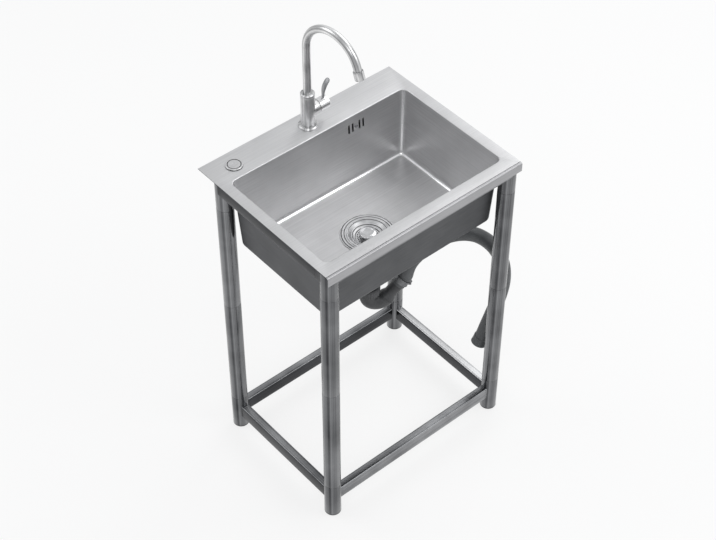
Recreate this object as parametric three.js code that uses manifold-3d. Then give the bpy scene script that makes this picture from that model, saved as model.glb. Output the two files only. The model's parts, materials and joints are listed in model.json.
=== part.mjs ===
// Free-standing kitchen sink: a steel bowl with deck and front apron on a stand of four round legs,
// with a gooseneck tap, a basket strainer, a waste trap and a free drain hose.
// Millimetres, +Z up, +Y towards the tap side; the origin is on the floor under the deck's centre.
import * as THREE from 'three';
import { mergeVertices } from 'three/addons/utils/BufferGeometryUtils.js';
import { ConvexGeometry } from 'three/addons/geometries/ConvexGeometry.js';
import Module from 'manifold-3d';

const wasm = await Module();
wasm.setup();

// ---- Driving dimensions -------------------------------------------------------------------------

// Gaps
const TOUCH_GAP = 0.3;        // between faces that touch
const SLIDE_GAP = 0.4;        // round a spigot in its tube
const PAST = 1;               // how far a cutter runs out of the face it cuts, or a boss into its piece
const SMALL_SIDES = 8;        // screws, stubs and their bores

// Deck, apron and bowl
const RIM_WIDTH = 550;
const RIM_DEPTH = 442;
const RIM_HEIGHT = 813;
const SHEET = 1.5;
const APRON_HEIGHT = 24;
const APRON_BEND = 5.5;       // outside radius of the fold
const REAR_DECK = 81;
const BOWL_DEPTH = 186;
const BOWL_TAPER = 10;        // how far each wall leans in, top to floor
const BOWL_CORNER = 16;
const BOWL_TUCK = 4.6;        // how far the bowl's front reaches in between the front legs
const FLOOR_FILLET = 14;
const CORNER_STEPS = 4;
const FILLET_STEPS = 4;
const APRON_BEND_STEPS = 2;
const LEAST_CORNER = 1;       // smallest inside corner of the bowl's floor and of the rails

// Stand
const LEG_RADIUS = 20;
const LEG_WALL = 1.5;
const LEG_EDGE = 1;           // leg's outside to the deck's side edge
const LEG_TUCK = 2;           // how far a rear leg reaches past the bowl's rounded corner
const LEG_SIDES = 16;
const RAIL_WIDTH = 20;
const TOP_RAIL_TALL = 30;
const LOW_RAIL_TALL = 36;
const RAIL_WALL = 1.5;
const RAIL_ROUND = 3;
const RAIL_INSET = 0.4;       // a top rail's outer face inside the legs' outer line
const RAIL_TO_BOWL = 3.6;     // side rail to bowl wall
const LOW_RAIL_Z = 42;        // underside of the lower rails
const CORNER_TOP_TALL = 78;
const CORNER_LOW_TOP = 106;
const MID_JOINT_Z = 431;
const BOSS_REACH = 2.5;       // rail socket's face beyond the leg's surface
const SPIGOT_LENGTH = 28;
const FOOT_TALL = 5;
const FOOT_ROUND = 3;
const FOOT_PLUG = 14;         // how far it reaches up the corner's sleeve

// Strainer and basket
const DRAIN_FROM_MIDDLE = 26.7;
const FLANGE_RADIUS = 64.5;
const FLANGE_THICK = 1.6;
const CUP_RADIUS = 47;
const CUP_WALL = 1.5;
const CUP_DEPTH = 60;
const DRAIN_SIDES = 20;
const OUTLET_RADIUS = 19.5;
const OUTLET_LENGTH = 22;
const GASKET_THICK = 3;
const GASKET_WIDTH = 12;
const LOCK_NUT_TALL = 13;
const LOCK_NUT_WIDTH = 10;
const BASKET_GAP = 1;
const BASKET_WALL = 1;
const BASKET_DEPTH = 11;      // of its dish below the seat
const BASKET_EDGE = 2;        // upright part of its side
const BASKET_SLOPE = 2.5;     // how far the rest of its side leans in
const BASKET_LIP = 3.5;       // rim's seat on the flange
const BASKET_HOLES = 12;
const BASKET_HOLE_RADIUS = 2.6;
const BASKET_HOLE_SIDES = 6;
const POST_RADIUS = 3.5;
const POST_TALL = 8;
const KNOB_RADIUS = 20.5;
const KNOB_TALL = 15;
const KNOB_CAP = 4;           // its top above its widest ring
const KNOB_NECK = 8;
const KNOB_EDGE = 1.8;        // half the height of its round edge
const KNOB_CROWN = 13.2;      // radius of its flat top

// Waste pipe and trap; they lie in one upright plane, turned from the +X direction
const TRAP_AIM = THREE.MathUtils.degToRad(-24);
const PIPE_WALL = 2;
const TAIL_RADIUS = 17;
const BEND_PIPE_RADIUS = 20;
const BEND_RADIUS = 26;
const TRAP_DROP = 116;        // strainer's outlet down to the bend's centre
const TRAP_RISE = THREE.MathUtils.degToRad(51.6);
const BEND_INLET = 28;        // straight stretch above the arc
const BEND_SIDES = 12;
const BEND_STEPS = 12;
const NUT_WALL = 5.5;
const NUT_TALL = 21;
const NUT_SHOULDER = 6.3;     // part of it past the socket's end
const TAIL_IN_BEND = 21;      // tail pipe's end below the bend's socket
const TRAP_NUT_WALL = 9.5;    // the nut on the bend is a large one
const ARM_RADIUS = 15;
const ARM_LENGTH = 62;
const ARM_IN_BEND = 12;
const ARM_TAPER = 14;         // from the bend's size down to the arm's
const HOSE_ON_ARM = 18;

// Drain hose: its route in the trap's plane is [distance from the drain's axis, height above the
// bend's centre]
const HOSE_WALL = 1.6;
const HOSE_SIDES = 10;
const HOSE_STEPS = 28;
const HOSE_STRAIGHT = 10;     // past the arm's end before it bends
const HOSE_ROUTE = [
  [95, 57], [101, 75], [112, 92], [132, 112], [155, 128], [181, 138], [208, 141], [235, 136],
  [260, 124], [283, 104], [304, 77], [320, 47], [331, 15], [337, -18], [338, -51], [334, -85],
  [326, -122], [315, -160], [303, -201], [296, -226], [288, -251],
];
const CUFF_LENGTH = 22;
const CUFF_WALL = 1.5;
const CUFF_FLARE = 1.6;
const CLAMP_WIDTH = 14;
const CLAMP_FROM_END = 15;    // hose's end to the clamp's middle
const CLAMP_WALL = 1.4;
const CLAMP_HEAD = 9;         // screw housing's width
const CLAMP_HEAD_TALL = 7.2;  // and its height over the band
const CLAMP_SCREW_RADIUS = 2.8;
const CLAMP_SCREW_LENGTH = 17;
const CLAMP_SCREW_HEAD = 4.2; // its head's radius

// Overflow in the rear wall
const OVERFLOW_FROM_SIDE = 143.5; // bowl's right wall to the slots' middle
const SLOT_WIDTH = 5;
const SLOT_TALL = 24;
const SLOT_BELOW_DECK = 22;   // deck to the slots' tops
const SLOT_INNER_PITCH = 20;  // between the two middle slots
const SLOT_OUTER_PITCH = 42;  // between the two end slots
const CHAMBER_DEPTH = 3.5;    // between the rear wall's top and the rear rail
const OVERFLOW_BOX_WIDTH = 60;
const OVERFLOW_WALL = 1.5;
const OVERFLOW_MARGIN = 5;    // box above and below the slots
const OVERFLOW_SUMP = 24;     // depth of the box's part under the rail
const OVERFLOW_SUMP_TALL = 20;
const OVERFLOW_SCREW_RADIUS = 2;
const OVERFLOW_HEAD_RADIUS = 4;
const OVERFLOW_HEAD_CROWN = 3.2;
const OVERFLOW_HEAD_SIDES = 10;
const OVERFLOW_HEAD_THICK = 1.6;
const STUB_RADIUS = 6.4;
const STUB_SIDES = 12;        // of the strainer's stub
const STUB_WALL = 1.8;
const STUB_LENGTH = 16;
const OVERFLOW_PIPE_GAP = 1;  // stub to pipe bore, measured at the pipe's corners
const OVERFLOW_PIPE_WALL = 2;
const OVERFLOW_PIPE_SIDES = 8;
const OVERFLOW_PIPE_STEPS = 14;
const OVERFLOW_STUB_DROP = 32; // bowl floor to the strainer's side stub
const OVERFLOW_ELBOW = 45;    // how far the pipe's elbow reaches along each of its legs
const OVERFLOW_ELBOW_INSET = 13;
const OVERFLOW_STRAIGHT = 15; // pipe's straight stretch before the stub

// Blanking cap in the deck
const CAP_FROM_SIDE = 67.4;
const CAP_RADIUS = 20;
const CAP_THICK = 2.6;
const CAP_EDGE = 0.9;         // its chamfer
const CAP_GROOVE_RADIUS = 16;
const CAP_GROOVE_WIDTH = 1.6;
const CAP_GROOVE_DEPTH = 1.4;
const CAP_STUD_RADIUS = 4;
const CAP_STUD_LENGTH = 24;
const CAP_HOLE_RADIUS = 10;
const CAP_NUT_THICK = 6;

// Tap
const TAP_SIDES = 16;
const TAP_SHANK_RADIUS = 10;
const TAP_SHANK_WALL = 3;
const TAP_SHANK_BELOW = 46;   // under the deck
const TAP_HOLE_GAP = 1;
const TAP_NUT_WALL = 4;
const TAP_NUT_TALL = 10;
const TAP_WASHER_THICK = 3;
const BASE_RADIUS = 23;
const BASE_TALL = 6;
const BASE_EDGE = 3;          // height of its upright edge
const BASE_SLOPE = 2.4;       // how far its top slopes in
const BODY_RADIUS = 16.4;
const BODY_TOP = 85;          // above the deck
const COLLAR_TALL = 8;
const COLLAR_EDGE = 2;        // its chamfer
const SHANK_IN_BODY = 14;
const SIDE_RADIUS = 15.8;     // side housing and handle hub
const SIDE_HEIGHT = 42;       // their axis above the deck
const SIDE_REACH = 25.5;      // housing's end from the body's axis
const HUB_LENGTH = 27.5;
const HUB_GAP = 1.2;
const HUB_WALL = 3.2;
const HUB_ROUND = 2.5;
const CARTRIDGE_RADIUS = 12;
const CARTRIDGE_LENGTH = 16;
const STEM_RADIUS = 4;
const STEM_LENGTH = 17;
const LEVER_PIN_RADIUS = 3.2;
const LEVER_TALL = 42.5;      // above the hub
const LEVER_LEAN = 17.5;      // outwards at its tip
const LEVER_ROOT_WIDTH = 8;
const LEVER_TIP_WIDTH = 14;
const LEVER_THICK = 3.6;
const LEVER_FROM_HUB = 17;    // hub's start to the lever's middle
const LEVER_STEPS = 8;
const LEVER_PIN_LENGTH = 6.9;
const LEVER_WIDENS = 0.6;     // share of its height over which it widens
const LEVER_TIP_CUT = 5.4;    // height of its cut tip corners
const LEVER_TIP_FLAT = 6.6;   // width of its tip between them
const SPOUT_RADIUS = 9.1;
const SPOUT_WALL = 1.3;
const SPOUT_IN_BODY = 22;
const SPOUT_RISE = 218.6;     // straight stretch's end above the deck
const SPOUT_ARC_RADIUS = 77;
const SPOUT_SWEEP = THREE.MathUtils.degToRad(160);
const SPOUT_TAIL = 28;
const SPOUT_AIM = THREE.MathUtils.degToRad(6);  // from straight ahead, towards +X
const SPOUT_SIDES = 12;
const SPOUT_STEPS = 28;
const AERATOR_RADIUS = 11.5;
const AERATOR_LENGTH = 20;
const AERATOR_BELOW = 2;      // past the tube's end

// ---- Derived places -----------------------------------------------------------------------------

const DECK_UNDER = RIM_HEIGHT - SHEET;
const LEG_X = RIM_WIDTH / 2 - LEG_EDGE - LEG_RADIUS;
const FRONT_LEG_Y = -RIM_DEPTH / 2 + SHEET + TOUCH_GAP * 2 + LEG_RADIUS;
const SIDE_RIM = LEG_EDGE + RAIL_INSET + RAIL_WIDTH + RAIL_TO_BOWL + SHEET;
const BOWL_HALF_X = RIM_WIDTH / 2 - SIDE_RIM;
const OVERFLOW_X = BOWL_HALF_X - OVERFLOW_FROM_SIDE;
const CAP_X = CAP_FROM_SIDE - RIM_WIDTH / 2;
const BOWL_FRONT = FRONT_LEG_Y + LEG_RADIUS - BOWL_TUCK;
const BOWL_BACK = RIM_DEPTH / 2 - REAR_DECK;
const BOWL_MIDDLE_Y = (BOWL_FRONT + BOWL_BACK) / 2;
const BOWL_HALF_Y = (BOWL_BACK - BOWL_FRONT) / 2;
const FLOOR_Z = RIM_HEIGHT - BOWL_DEPTH;
const REAR_LEG_Y = BOWL_BACK + LEG_RADIUS - LEG_TUCK;
const SIDE_RAIL_OFFSET = LEG_RADIUS - RAIL_INSET - RAIL_WIDTH / 2;
const FRONT_RAIL_Y = FRONT_LEG_Y - SIDE_RAIL_OFFSET;
const REAR_RAIL_Y = BOWL_BACK + SHEET + CHAMBER_DEPTH + RAIL_WIDTH / 2;
const TOP_RAIL = { low: DECK_UNDER - TOUCH_GAP * 2 - TOP_RAIL_TALL, tall: TOP_RAIL_TALL };
const LOW_RAIL = { low: LOW_RAIL_Z, tall: LOW_RAIL_TALL };
const LEG_BORE = LEG_RADIUS - LEG_WALL;
const BOSS_END = LEG_RADIUS + BOSS_REACH;
const TAP_NUT_RADIUS = TAP_SHANK_RADIUS + TOUCH_GAP + TAP_NUT_WALL;
const TAP_Y = REAR_RAIL_Y + RAIL_WIDTH / 2 + TOUCH_GAP + TAP_NUT_RADIUS;
const DRAIN_Y = -DRAIN_FROM_MIDDLE;
const CUP_BOTTOM = FLOOR_Z - CUP_DEPTH;
const OUTLET_END = CUP_BOTTOM - OUTLET_LENGTH;
const BEND_CENTRE_Z = OUTLET_END - TRAP_DROP;
const OVERFLOW_PIPE_BORE = STUB_RADIUS + OVERFLOW_PIPE_GAP;
const OVERFLOW_PIPE_RADIUS = OVERFLOW_PIPE_BORE + OVERFLOW_PIPE_WALL;

// ---- Finishes -----------------------------------------------------------------------------------

const BRUSHED_STEEL = { color: '#b9babb', roughness: 0.36, metalness: 0.9 };
const POLISHED_STEEL = { color: '#9b9c9e', roughness: 0.2, metalness: 0.95 };
const TAP_STEEL = { color: '#a9aaac', roughness: 0.24, metalness: 0.95 };
const GREY_PLASTIC = { color: '#4a4b4d', roughness: 0.55, metalness: 0 };
const HOSE_PLASTIC = { color: '#5d5f61', roughness: 0.5, metalness: 0 };
const BLACK_RUBBER = { color: '#232426', roughness: 0.8, metalness: 0 };
const CERAMIC = { color: '#e7e4dc', roughness: 0.4, metalness: 0 };

const sink = new THREE.Group();

// ---- Geometry tools -----------------------------------------------------------------------------

// A closed mesh as a solid that can be joined and cut.
function solid(geometry) {
  const bare = geometry.clone();
  bare.deleteAttribute('normal');
  bare.deleteAttribute('uv');
  const merged = mergeVertices(bare, 1e-3);
  const vertProperties = merged.getAttribute('position').array;
  const triVerts = new Uint32Array(merged.getIndex().array);
  return new wasm.Manifold(new wasm.Mesh({ numProp: 3, vertProperties, triVerts }));
}

// A solid back as a geometry.
function geometryOf(made) {
  const mesh = made.getMesh();
  const geometry = new THREE.BufferGeometry();
  geometry.setAttribute('position', new THREE.BufferAttribute(mesh.vertProperties, 3));
  geometry.setIndex(new THREE.BufferAttribute(mesh.triVerts, 1));
  return geometry;
}

function joined(first, ...others) {
  return geometryOf(others.reduce((whole, other) => whole.add(solid(other)), solid(first)));
}

function cut(first, ...cutters) {
  return geometryOf(cutters.reduce((left, cutter) => left.subtract(solid(cutter)), solid(first)));
}

// Bore radius whose flats clear a round piece by the touching gap.
function clearOf(radius, sides) {
  return (radius + TOUCH_GAP) / Math.cos(Math.PI / sides);
}

// Turned about the Z axis; the profile is [radius, height] pairs, anticlockwise as drawn, and
// either runs from axis to axis or is closed by going back to its first pair.
function turned(profile, sides) {
  const points = profile.map(([radius, height]) => new THREE.Vector2(radius, height));
  return new THREE.LatheGeometry(points, sides).rotateX(Math.PI / 2);
}

function ring(bore, radius, bottom, top, sides) {
  return turned([[bore, bottom], [radius, bottom], [radius, top], [bore, top], [bore, bottom]], sides);
}

function rod(radius, bottom, top, sides) {
  return turned([[0, bottom], [radius, bottom], [radius, top], [0, top]], sides);
}

// From an upright piece to one that lies along +X.
function layAlongX(geometry) {
  return geometry.rotateY(Math.PI / 2);
}

function block(x0, x1, y0, y1, z0, z1) {
  const box = new THREE.BoxGeometry(x1 - x0, y1 - y0, z1 - z0);
  return box.translate((x0 + x1) / 2, (y0 + y1) / 2, (z0 + z1) / 2);
}

// A section drawn in (y, z), drawn out along X from x0 to x1.
function alongX(section, x0, x1, curveSegments) {
  const drawn = new THREE.ExtrudeGeometry(section, { depth: x1 - x0, bevelEnabled: false, curveSegments });
  const axes = new THREE.Matrix4().makeBasis(
    new THREE.Vector3(0, 1, 0), new THREE.Vector3(0, 0, 1), new THREE.Vector3(1, 0, 0));
  return drawn.applyMatrix4(axes).translate(x0, 0, 0);
}

function polygon(pairs) {
  return new THREE.Shape(pairs.map(([x, y]) => new THREE.Vector2(x, y)));
}

// A pipe of round section along a curve; a bore of 0 leaves it solid.
function pipe(curve, radius, bore, sides, steps) {
  const section = new THREE.Shape().absarc(0, 0, radius, 0, Math.PI * 2, false);
  if (bore > 0) section.holes.push(new THREE.Path().absarc(0, 0, bore, 0, Math.PI * 2, true));
  const curveSegments = sides / 2;
  return new THREE.ExtrudeGeometry(section, {
    steps, extrudePath: curve, bevelEnabled: false, curveSegments,
  });
}

function piece(name, geometry, finish) {
  const mesh = new THREE.Mesh(geometry, new THREE.MeshStandardMaterial(finish));
  mesh.name = name;
  sink.add(mesh);
  return mesh;
}

// ---- Sink basin ---------------------------------------------------------------------------------

// Points round a rectangle with rounded corners, at one height.
function roundedRing(halfX, halfY, corner, z) {
  const points = [];
  for (let quarter = 0; quarter < 4; quarter += 1) {
    const signX = quarter === 0 || quarter === 3 ? 1 : -1;
    const signY = quarter < 2 ? 1 : -1;
    for (let step = 0; step <= CORNER_STEPS; step += 1) {
      const angle = (quarter + step / CORNER_STEPS) * Math.PI / 2;
      const x = signX * (halfX - corner) + corner * Math.cos(angle);
      const y = signY * (halfY - corner) + corner * Math.sin(angle);
      points.push(new THREE.Vector3(x, BOWL_MIDDLE_Y + y, z));
    }
  }
  return points;
}

// How far a wall has leaned in at a height.
function wallLean(z) {
  return BOWL_TAPER * (RIM_HEIGHT - z) / BOWL_DEPTH;
}

// The bowl as a filled solid; grow is 0 for its inside and the sheet's thickness for its outside.
function filledBowl(grow, top) {
  const floor = FLOOR_Z - grow;
  const fillet = FLOOR_FILLET + grow;
  const points = roundedRing(BOWL_HALF_X + grow, BOWL_HALF_Y + grow, BOWL_CORNER + grow, top);
  for (let step = 0; step <= FILLET_STEPS; step += 1) {
    const angle = step / FILLET_STEPS * Math.PI / 2;
    const z = floor + fillet * (1 - Math.sin(angle));
    const roundIn = fillet * (1 - Math.cos(angle));
    const inset = wallLean(floor + fillet) + roundIn - grow;
    const corner = Math.max(BOWL_CORNER + grow - roundIn, LEAST_CORNER);
    points.push(...roundedRing(BOWL_HALF_X - inset, BOWL_HALF_Y - inset, corner, z));
  }
  return new ConvexGeometry(points);
}

// Deck and front apron: one sheet, folded down along the front edge.
function deckSheet() {
  const front = -RIM_DEPTH / 2;
  const back = RIM_DEPTH / 2;
  const bendY = front + APRON_BEND;
  const bendZ = RIM_HEIGHT - APRON_BEND;
  const section = new THREE.Shape();
  section.moveTo(back, DECK_UNDER);
  section.lineTo(back, RIM_HEIGHT);
  section.lineTo(bendY, RIM_HEIGHT);
  section.absarc(bendY, bendZ, APRON_BEND, Math.PI / 2, Math.PI, false);
  section.lineTo(front, RIM_HEIGHT - APRON_HEIGHT);
  section.lineTo(front + SHEET, RIM_HEIGHT - APRON_HEIGHT);
  section.lineTo(front + SHEET, bendZ);
  section.absarc(bendY, bendZ, APRON_BEND - SHEET, Math.PI, Math.PI / 2, true);
  return alongX(section, -RIM_WIDTH / 2, RIM_WIDTH / 2, APRON_BEND_STEPS);
}

function overflowSlots() {
  const top = RIM_HEIGHT - SLOT_BELOW_DECK;
  const reach = BOWL_TAPER + SHEET * 2;
  const places = [-SLOT_OUTER_PITCH, -SLOT_INNER_PITCH, SLOT_INNER_PITCH, SLOT_OUTER_PITCH];
  return places.map((pitch) => {
    const left = OVERFLOW_X + pitch / 2 - SLOT_WIDTH / 2;
    return block(left, left + SLOT_WIDTH, BOWL_BACK - reach, BOWL_BACK + reach, top - SLOT_TALL, top);
  });
}

const OVERFLOW_SCREW_Z = RIM_HEIGHT - SLOT_BELOW_DECK - SLOT_TALL / 2;

function sinkBasin() {
  const throughDeck = [DECK_UNDER - SHEET, RIM_HEIGHT + SHEET];
  const drainHole = rod(CUP_RADIUS + TOUCH_GAP * 2, FLOOR_Z - SHEET * 2, FLOOR_Z + SHEET, DRAIN_SIDES);
  const tapHole = rod(TAP_SHANK_RADIUS + TAP_HOLE_GAP, ...throughDeck, TAP_SIDES);
  const capHole = rod(CAP_HOLE_RADIUS, ...throughDeck, TAP_SIDES);
  const screwHole = rod(OVERFLOW_SCREW_RADIUS + TOUCH_GAP, -BOWL_TAPER, BOWL_TAPER, SMALL_SIDES);
  return cut(
    joined(deckSheet(), filledBowl(SHEET, RIM_HEIGHT - SHEET / 2)),
    filledBowl(0, RIM_HEIGHT + SHEET),
    drainHole.translate(0, DRAIN_Y, 0),
    tapHole.translate(0, TAP_Y, 0),
    capHole.translate(CAP_X, TAP_Y, 0),
    screwHole.rotateX(Math.PI / 2).translate(OVERFLOW_X, BOWL_BACK, OVERFLOW_SCREW_Z),
    ...overflowSlots());
}

piece('sink_basin', sinkBasin(), BRUSHED_STEEL);

// ---- Blanking cap -------------------------------------------------------------------------------

function blankingCap() {
  const under = RIM_HEIGHT + TOUCH_GAP;
  const top = under + CAP_THICK;
  const groove = top - CAP_GROOVE_DEPTH;
  const stud = under - CAP_STUD_LENGTH;
  return turned([
    [0, stud], [CAP_STUD_RADIUS, stud], [CAP_STUD_RADIUS, under], [CAP_RADIUS, under],
    [CAP_RADIUS, top - CAP_EDGE], [CAP_RADIUS - CAP_EDGE, top],
    [CAP_GROOVE_RADIUS, top], [CAP_GROOVE_RADIUS, groove],
    [CAP_GROOVE_RADIUS - CAP_GROOVE_WIDTH, groove], [CAP_GROOVE_RADIUS - CAP_GROOVE_WIDTH, top],
    [0, top],
  ], TAP_SIDES);
}

function blankingCapNut() {
  const top = DECK_UNDER - TOUCH_GAP;
  const bore = clearOf(CAP_STUD_RADIUS, TAP_SIDES);
  return ring(bore, TAP_NUT_RADIUS, top - CAP_NUT_THICK, top, TAP_SIDES);
}

piece('blanking_cap', blankingCap(), BRUSHED_STEEL).position.set(CAP_X, TAP_Y, 0);
piece('blanking_cap_nut', blankingCapNut(), GREY_PLASTIC).position.set(CAP_X, TAP_Y, 0);

// ---- Overflow -----------------------------------------------------------------------------------

const OVERFLOW_BOX_TOP = RIM_HEIGHT - SLOT_BELOW_DECK + OVERFLOW_MARGIN;
const OVERFLOW_BOX_BOTTOM = TOP_RAIL.low - TOUCH_GAP - OVERFLOW_SUMP_TALL;

// The rear wall's outside at a height.
function wallBack(z) {
  return BOWL_BACK + SHEET - wallLean(z);
}

// The box's section in (y, z): thin behind the slots, deep under the rear rail.
function overflowSection(shrink, wallGap) {
  const bottom = OVERFLOW_BOX_BOTTOM + shrink;
  const top = OVERFLOW_BOX_TOP - shrink;
  const step = TOP_RAIL.low - TOUCH_GAP - shrink;
  const thin = BOWL_BACK + SHEET + CHAMBER_DEPTH - TOUCH_GAP - shrink;
  const deep = wallBack(bottom) + OVERFLOW_SUMP - shrink;
  return polygon([
    [wallBack(bottom) + wallGap, bottom], [deep, bottom], [deep, step], [thin, step], [thin, top],
    [wallBack(top) + wallGap, top],
  ]);
}

const SUMP_Y = wallBack(OVERFLOW_BOX_BOTTOM) + OVERFLOW_SUMP / 2;

function overflowBox() {
  const half = OVERFLOW_BOX_WIDTH / 2;
  const inner = half - OVERFLOW_WALL;
  const stubEnd = OVERFLOW_BOX_BOTTOM - STUB_LENGTH;
  const stub = rod(STUB_RADIUS, stubEnd, OVERFLOW_BOX_BOTTOM + OVERFLOW_WALL / 2, SMALL_SIDES);
  const bore = rod(STUB_RADIUS - STUB_WALL, stubEnd - PAST, OVERFLOW_BOX_BOTTOM + OVERFLOW_WALL * 2,
    SMALL_SIDES);
  return cut(
    joined(
      alongX(overflowSection(0, TOUCH_GAP), OVERFLOW_X - half, OVERFLOW_X + half, 1),
      stub.translate(OVERFLOW_X, SUMP_Y, 0)),
    alongX(overflowSection(OVERFLOW_WALL, -SHEET), OVERFLOW_X - inner, OVERFLOW_X + inner, 1),
    bore.translate(OVERFLOW_X, SUMP_Y, 0));
}

// Pan-headed screw through the rear wall, between the middle slots.
function overflowScrew() {
  const wallInside = BOWL_BACK - wallLean(OVERFLOW_SCREW_Z);
  const tip = BOWL_BACK + SHEET + CHAMBER_DEPTH - TOUCH_GAP * 2 - OVERFLOW_WALL;
  const length = tip - wallInside + TOUCH_GAP * 2;
  const profile = [
    [0, -length], [OVERFLOW_SCREW_RADIUS, -length], [OVERFLOW_SCREW_RADIUS, 0],
    [OVERFLOW_HEAD_RADIUS, 0], [OVERFLOW_HEAD_CROWN, OVERFLOW_HEAD_THICK], [0, OVERFLOW_HEAD_THICK],
  ];
  const screw = turned(profile, OVERFLOW_HEAD_SIDES).rotateX(Math.PI / 2);
  return screw.translate(OVERFLOW_X, wallInside - TOUCH_GAP * 2, OVERFLOW_SCREW_Z);
}

// The strainer's side stub points at the overflow box.
const STUB_Z = FLOOR_Z - OVERFLOW_STUB_DROP;
const STUB_AIM = Math.atan2(SUMP_Y - DRAIN_Y, OVERFLOW_X);
const STUB_END = CUP_RADIUS + LOCK_NUT_WIDTH + STUB_LENGTH;

function overflowPipe() {
  const toDrain = (distance) => [distance * Math.cos(STUB_AIM), DRAIN_Y + distance * Math.sin(STUB_AIM)];
  const far = Math.hypot(OVERFLOW_X, SUMP_Y - DRAIN_Y);
  const start = OVERFLOW_BOX_BOTTOM - TOUCH_GAP;
  const dropEnd = STUB_Z + OVERFLOW_ELBOW;
  const route = [
    [OVERFLOW_X, SUMP_Y, start], [OVERFLOW_X, SUMP_Y, start - STUB_LENGTH],
    [OVERFLOW_X, SUMP_Y, (start + dropEnd) / 2], [OVERFLOW_X, SUMP_Y, dropEnd],
    [...toDrain(far - OVERFLOW_ELBOW_INSET), STUB_Z + OVERFLOW_ELBOW_INSET],
    [...toDrain(far - OVERFLOW_ELBOW), STUB_Z],
    [...toDrain(STUB_END + OVERFLOW_STRAIGHT), STUB_Z], [...toDrain(STUB_END), STUB_Z],
    [...toDrain(STUB_END - STUB_LENGTH + PAST), STUB_Z],
  ];
  const curve = new THREE.CatmullRomCurve3(route.map((point) => new THREE.Vector3(...point)));
  return pipe(curve, OVERFLOW_PIPE_RADIUS, OVERFLOW_PIPE_BORE, OVERFLOW_PIPE_SIDES, OVERFLOW_PIPE_STEPS);
}

piece('overflow_box', overflowBox(), GREY_PLASTIC);
piece('overflow_screw', overflowScrew(), POLISHED_STEEL);
piece('overflow_pipe', overflowPipe(), GREY_PLASTIC);

// ---- Strainer and basket ------------------------------------------------------------------------

const FLANGE_UNDER = FLOOR_Z + TOUCH_GAP;
const FLANGE_TOP = FLANGE_UNDER + FLANGE_THICK;
const CUP_BORE = CUP_RADIUS - CUP_WALL;
const OUTLET_OUTSIDE = OUTLET_RADIUS + PIPE_WALL;

// Flange and cup in one pressing, with the overflow's stub on the cup's side.
function strainerBody() {
  const floorTop = CUP_BOTTOM + CUP_WALL;
  const shell = turned([
    [OUTLET_RADIUS, CUP_BOTTOM], [CUP_RADIUS, CUP_BOTTOM], [CUP_RADIUS, FLANGE_UNDER],
    [FLANGE_RADIUS, FLANGE_UNDER], [FLANGE_RADIUS - FLANGE_THICK, FLANGE_TOP], [CUP_BORE, FLANGE_TOP],
    [CUP_BORE, floorTop], [OUTLET_RADIUS, floorTop], [OUTLET_RADIUS, CUP_BOTTOM],
  ], DRAIN_SIDES);
  const stub = layAlongX(rod(STUB_RADIUS, CUP_BORE + CUP_WALL / 2, STUB_END, STUB_SIDES));
  const bore = layAlongX(rod(STUB_RADIUS - STUB_WALL, CUP_BORE - CUP_WALL * 3, STUB_END + PAST,
    STUB_SIDES));
  for (const side of [stub, bore]) side.rotateZ(STUB_AIM).translate(0, 0, STUB_Z);
  return cut(joined(shell, stub), bore);
}

// Outlet tube under the cup's floor.
function strainerOutlet() {
  return ring(OUTLET_RADIUS, OUTLET_OUTSIDE, OUTLET_END, CUP_BOTTOM - TOUCH_GAP, DRAIN_SIDES);
}

const BASKET_SEAT = FLANGE_TOP + TOUCH_GAP;
const BASKET_FLOOR = BASKET_SEAT - BASKET_DEPTH + BASKET_WALL;

// Shallow dish with holes in its floor, its rim seated on the flange.
function strainerBasket() {
  const outside = CUP_BORE - BASKET_GAP;
  const inside = outside - BASKET_WALL;
  const rim = BASKET_SEAT + BASKET_WALL;
  const under = BASKET_FLOOR - BASKET_WALL;
  const bend = BASKET_SEAT - BASKET_EDGE;
  const postTop = BASKET_FLOOR + POST_TALL;
  const shell = turned([
    [0, under], [outside - BASKET_SLOPE, under], [outside, bend], [outside, BASKET_SEAT],
    [CUP_BORE + BASKET_LIP, BASKET_SEAT], [CUP_BORE + BASKET_LIP, rim], [inside, rim], [inside, bend],
    [inside - BASKET_SLOPE, BASKET_FLOOR], [POST_RADIUS, BASKET_FLOOR], [POST_RADIUS, postTop],
    [0, postTop],
  ], DRAIN_SIDES);
  const holes = [];
  for (let hole = 0; hole < BASKET_HOLES; hole += 1) {
    const turn = hole / BASKET_HOLES * Math.PI * 2;
    const place = (outside + POST_RADIUS) / 2;
    const punch = rod(BASKET_HOLE_RADIUS, under - PAST, BASKET_FLOOR + PAST, BASKET_HOLE_SIDES);
    holes.push(punch.translate(place, 0, 0).rotateZ(turn));
  }
  return cut(shell, ...holes);
}

// Mushroom knob screwed on the basket's post.
function basketKnob() {
  const low = BASKET_FLOOR + TOUCH_GAP;
  const crown = low + KNOB_TALL;
  const neckTop = crown - KNOB_CAP;
  const socket = BASKET_FLOOR + POST_TALL + TOUCH_GAP;
  const bore = POST_RADIUS + TOUCH_GAP;
  return turned([
    [bore, low], [KNOB_NECK, low], [KNOB_NECK, neckTop - KNOB_EDGE], [KNOB_RADIUS, neckTop],
    [KNOB_RADIUS - KNOB_EDGE / 2, neckTop + KNOB_EDGE], [KNOB_CROWN, crown], [0, crown],
    [0, socket], [bore, socket], [bore, low],
  ], DRAIN_SIDES);
}

function strainerGasket() {
  const top = FLOOR_Z - SHEET - TOUCH_GAP;
  return ring(CUP_RADIUS + TOUCH_GAP, CUP_RADIUS + GASKET_WIDTH, top - GASKET_THICK, top, DRAIN_SIDES);
}

function strainerLockNut() {
  const top = FLOOR_Z - SHEET - GASKET_THICK - TOUCH_GAP * 2;
  return ring(CUP_RADIUS + TOUCH_GAP, CUP_RADIUS + LOCK_NUT_WIDTH, top - LOCK_NUT_TALL, top, DRAIN_SIDES);
}

function onDrain(mesh) {
  mesh.position.set(0, DRAIN_Y, 0);
}

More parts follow.
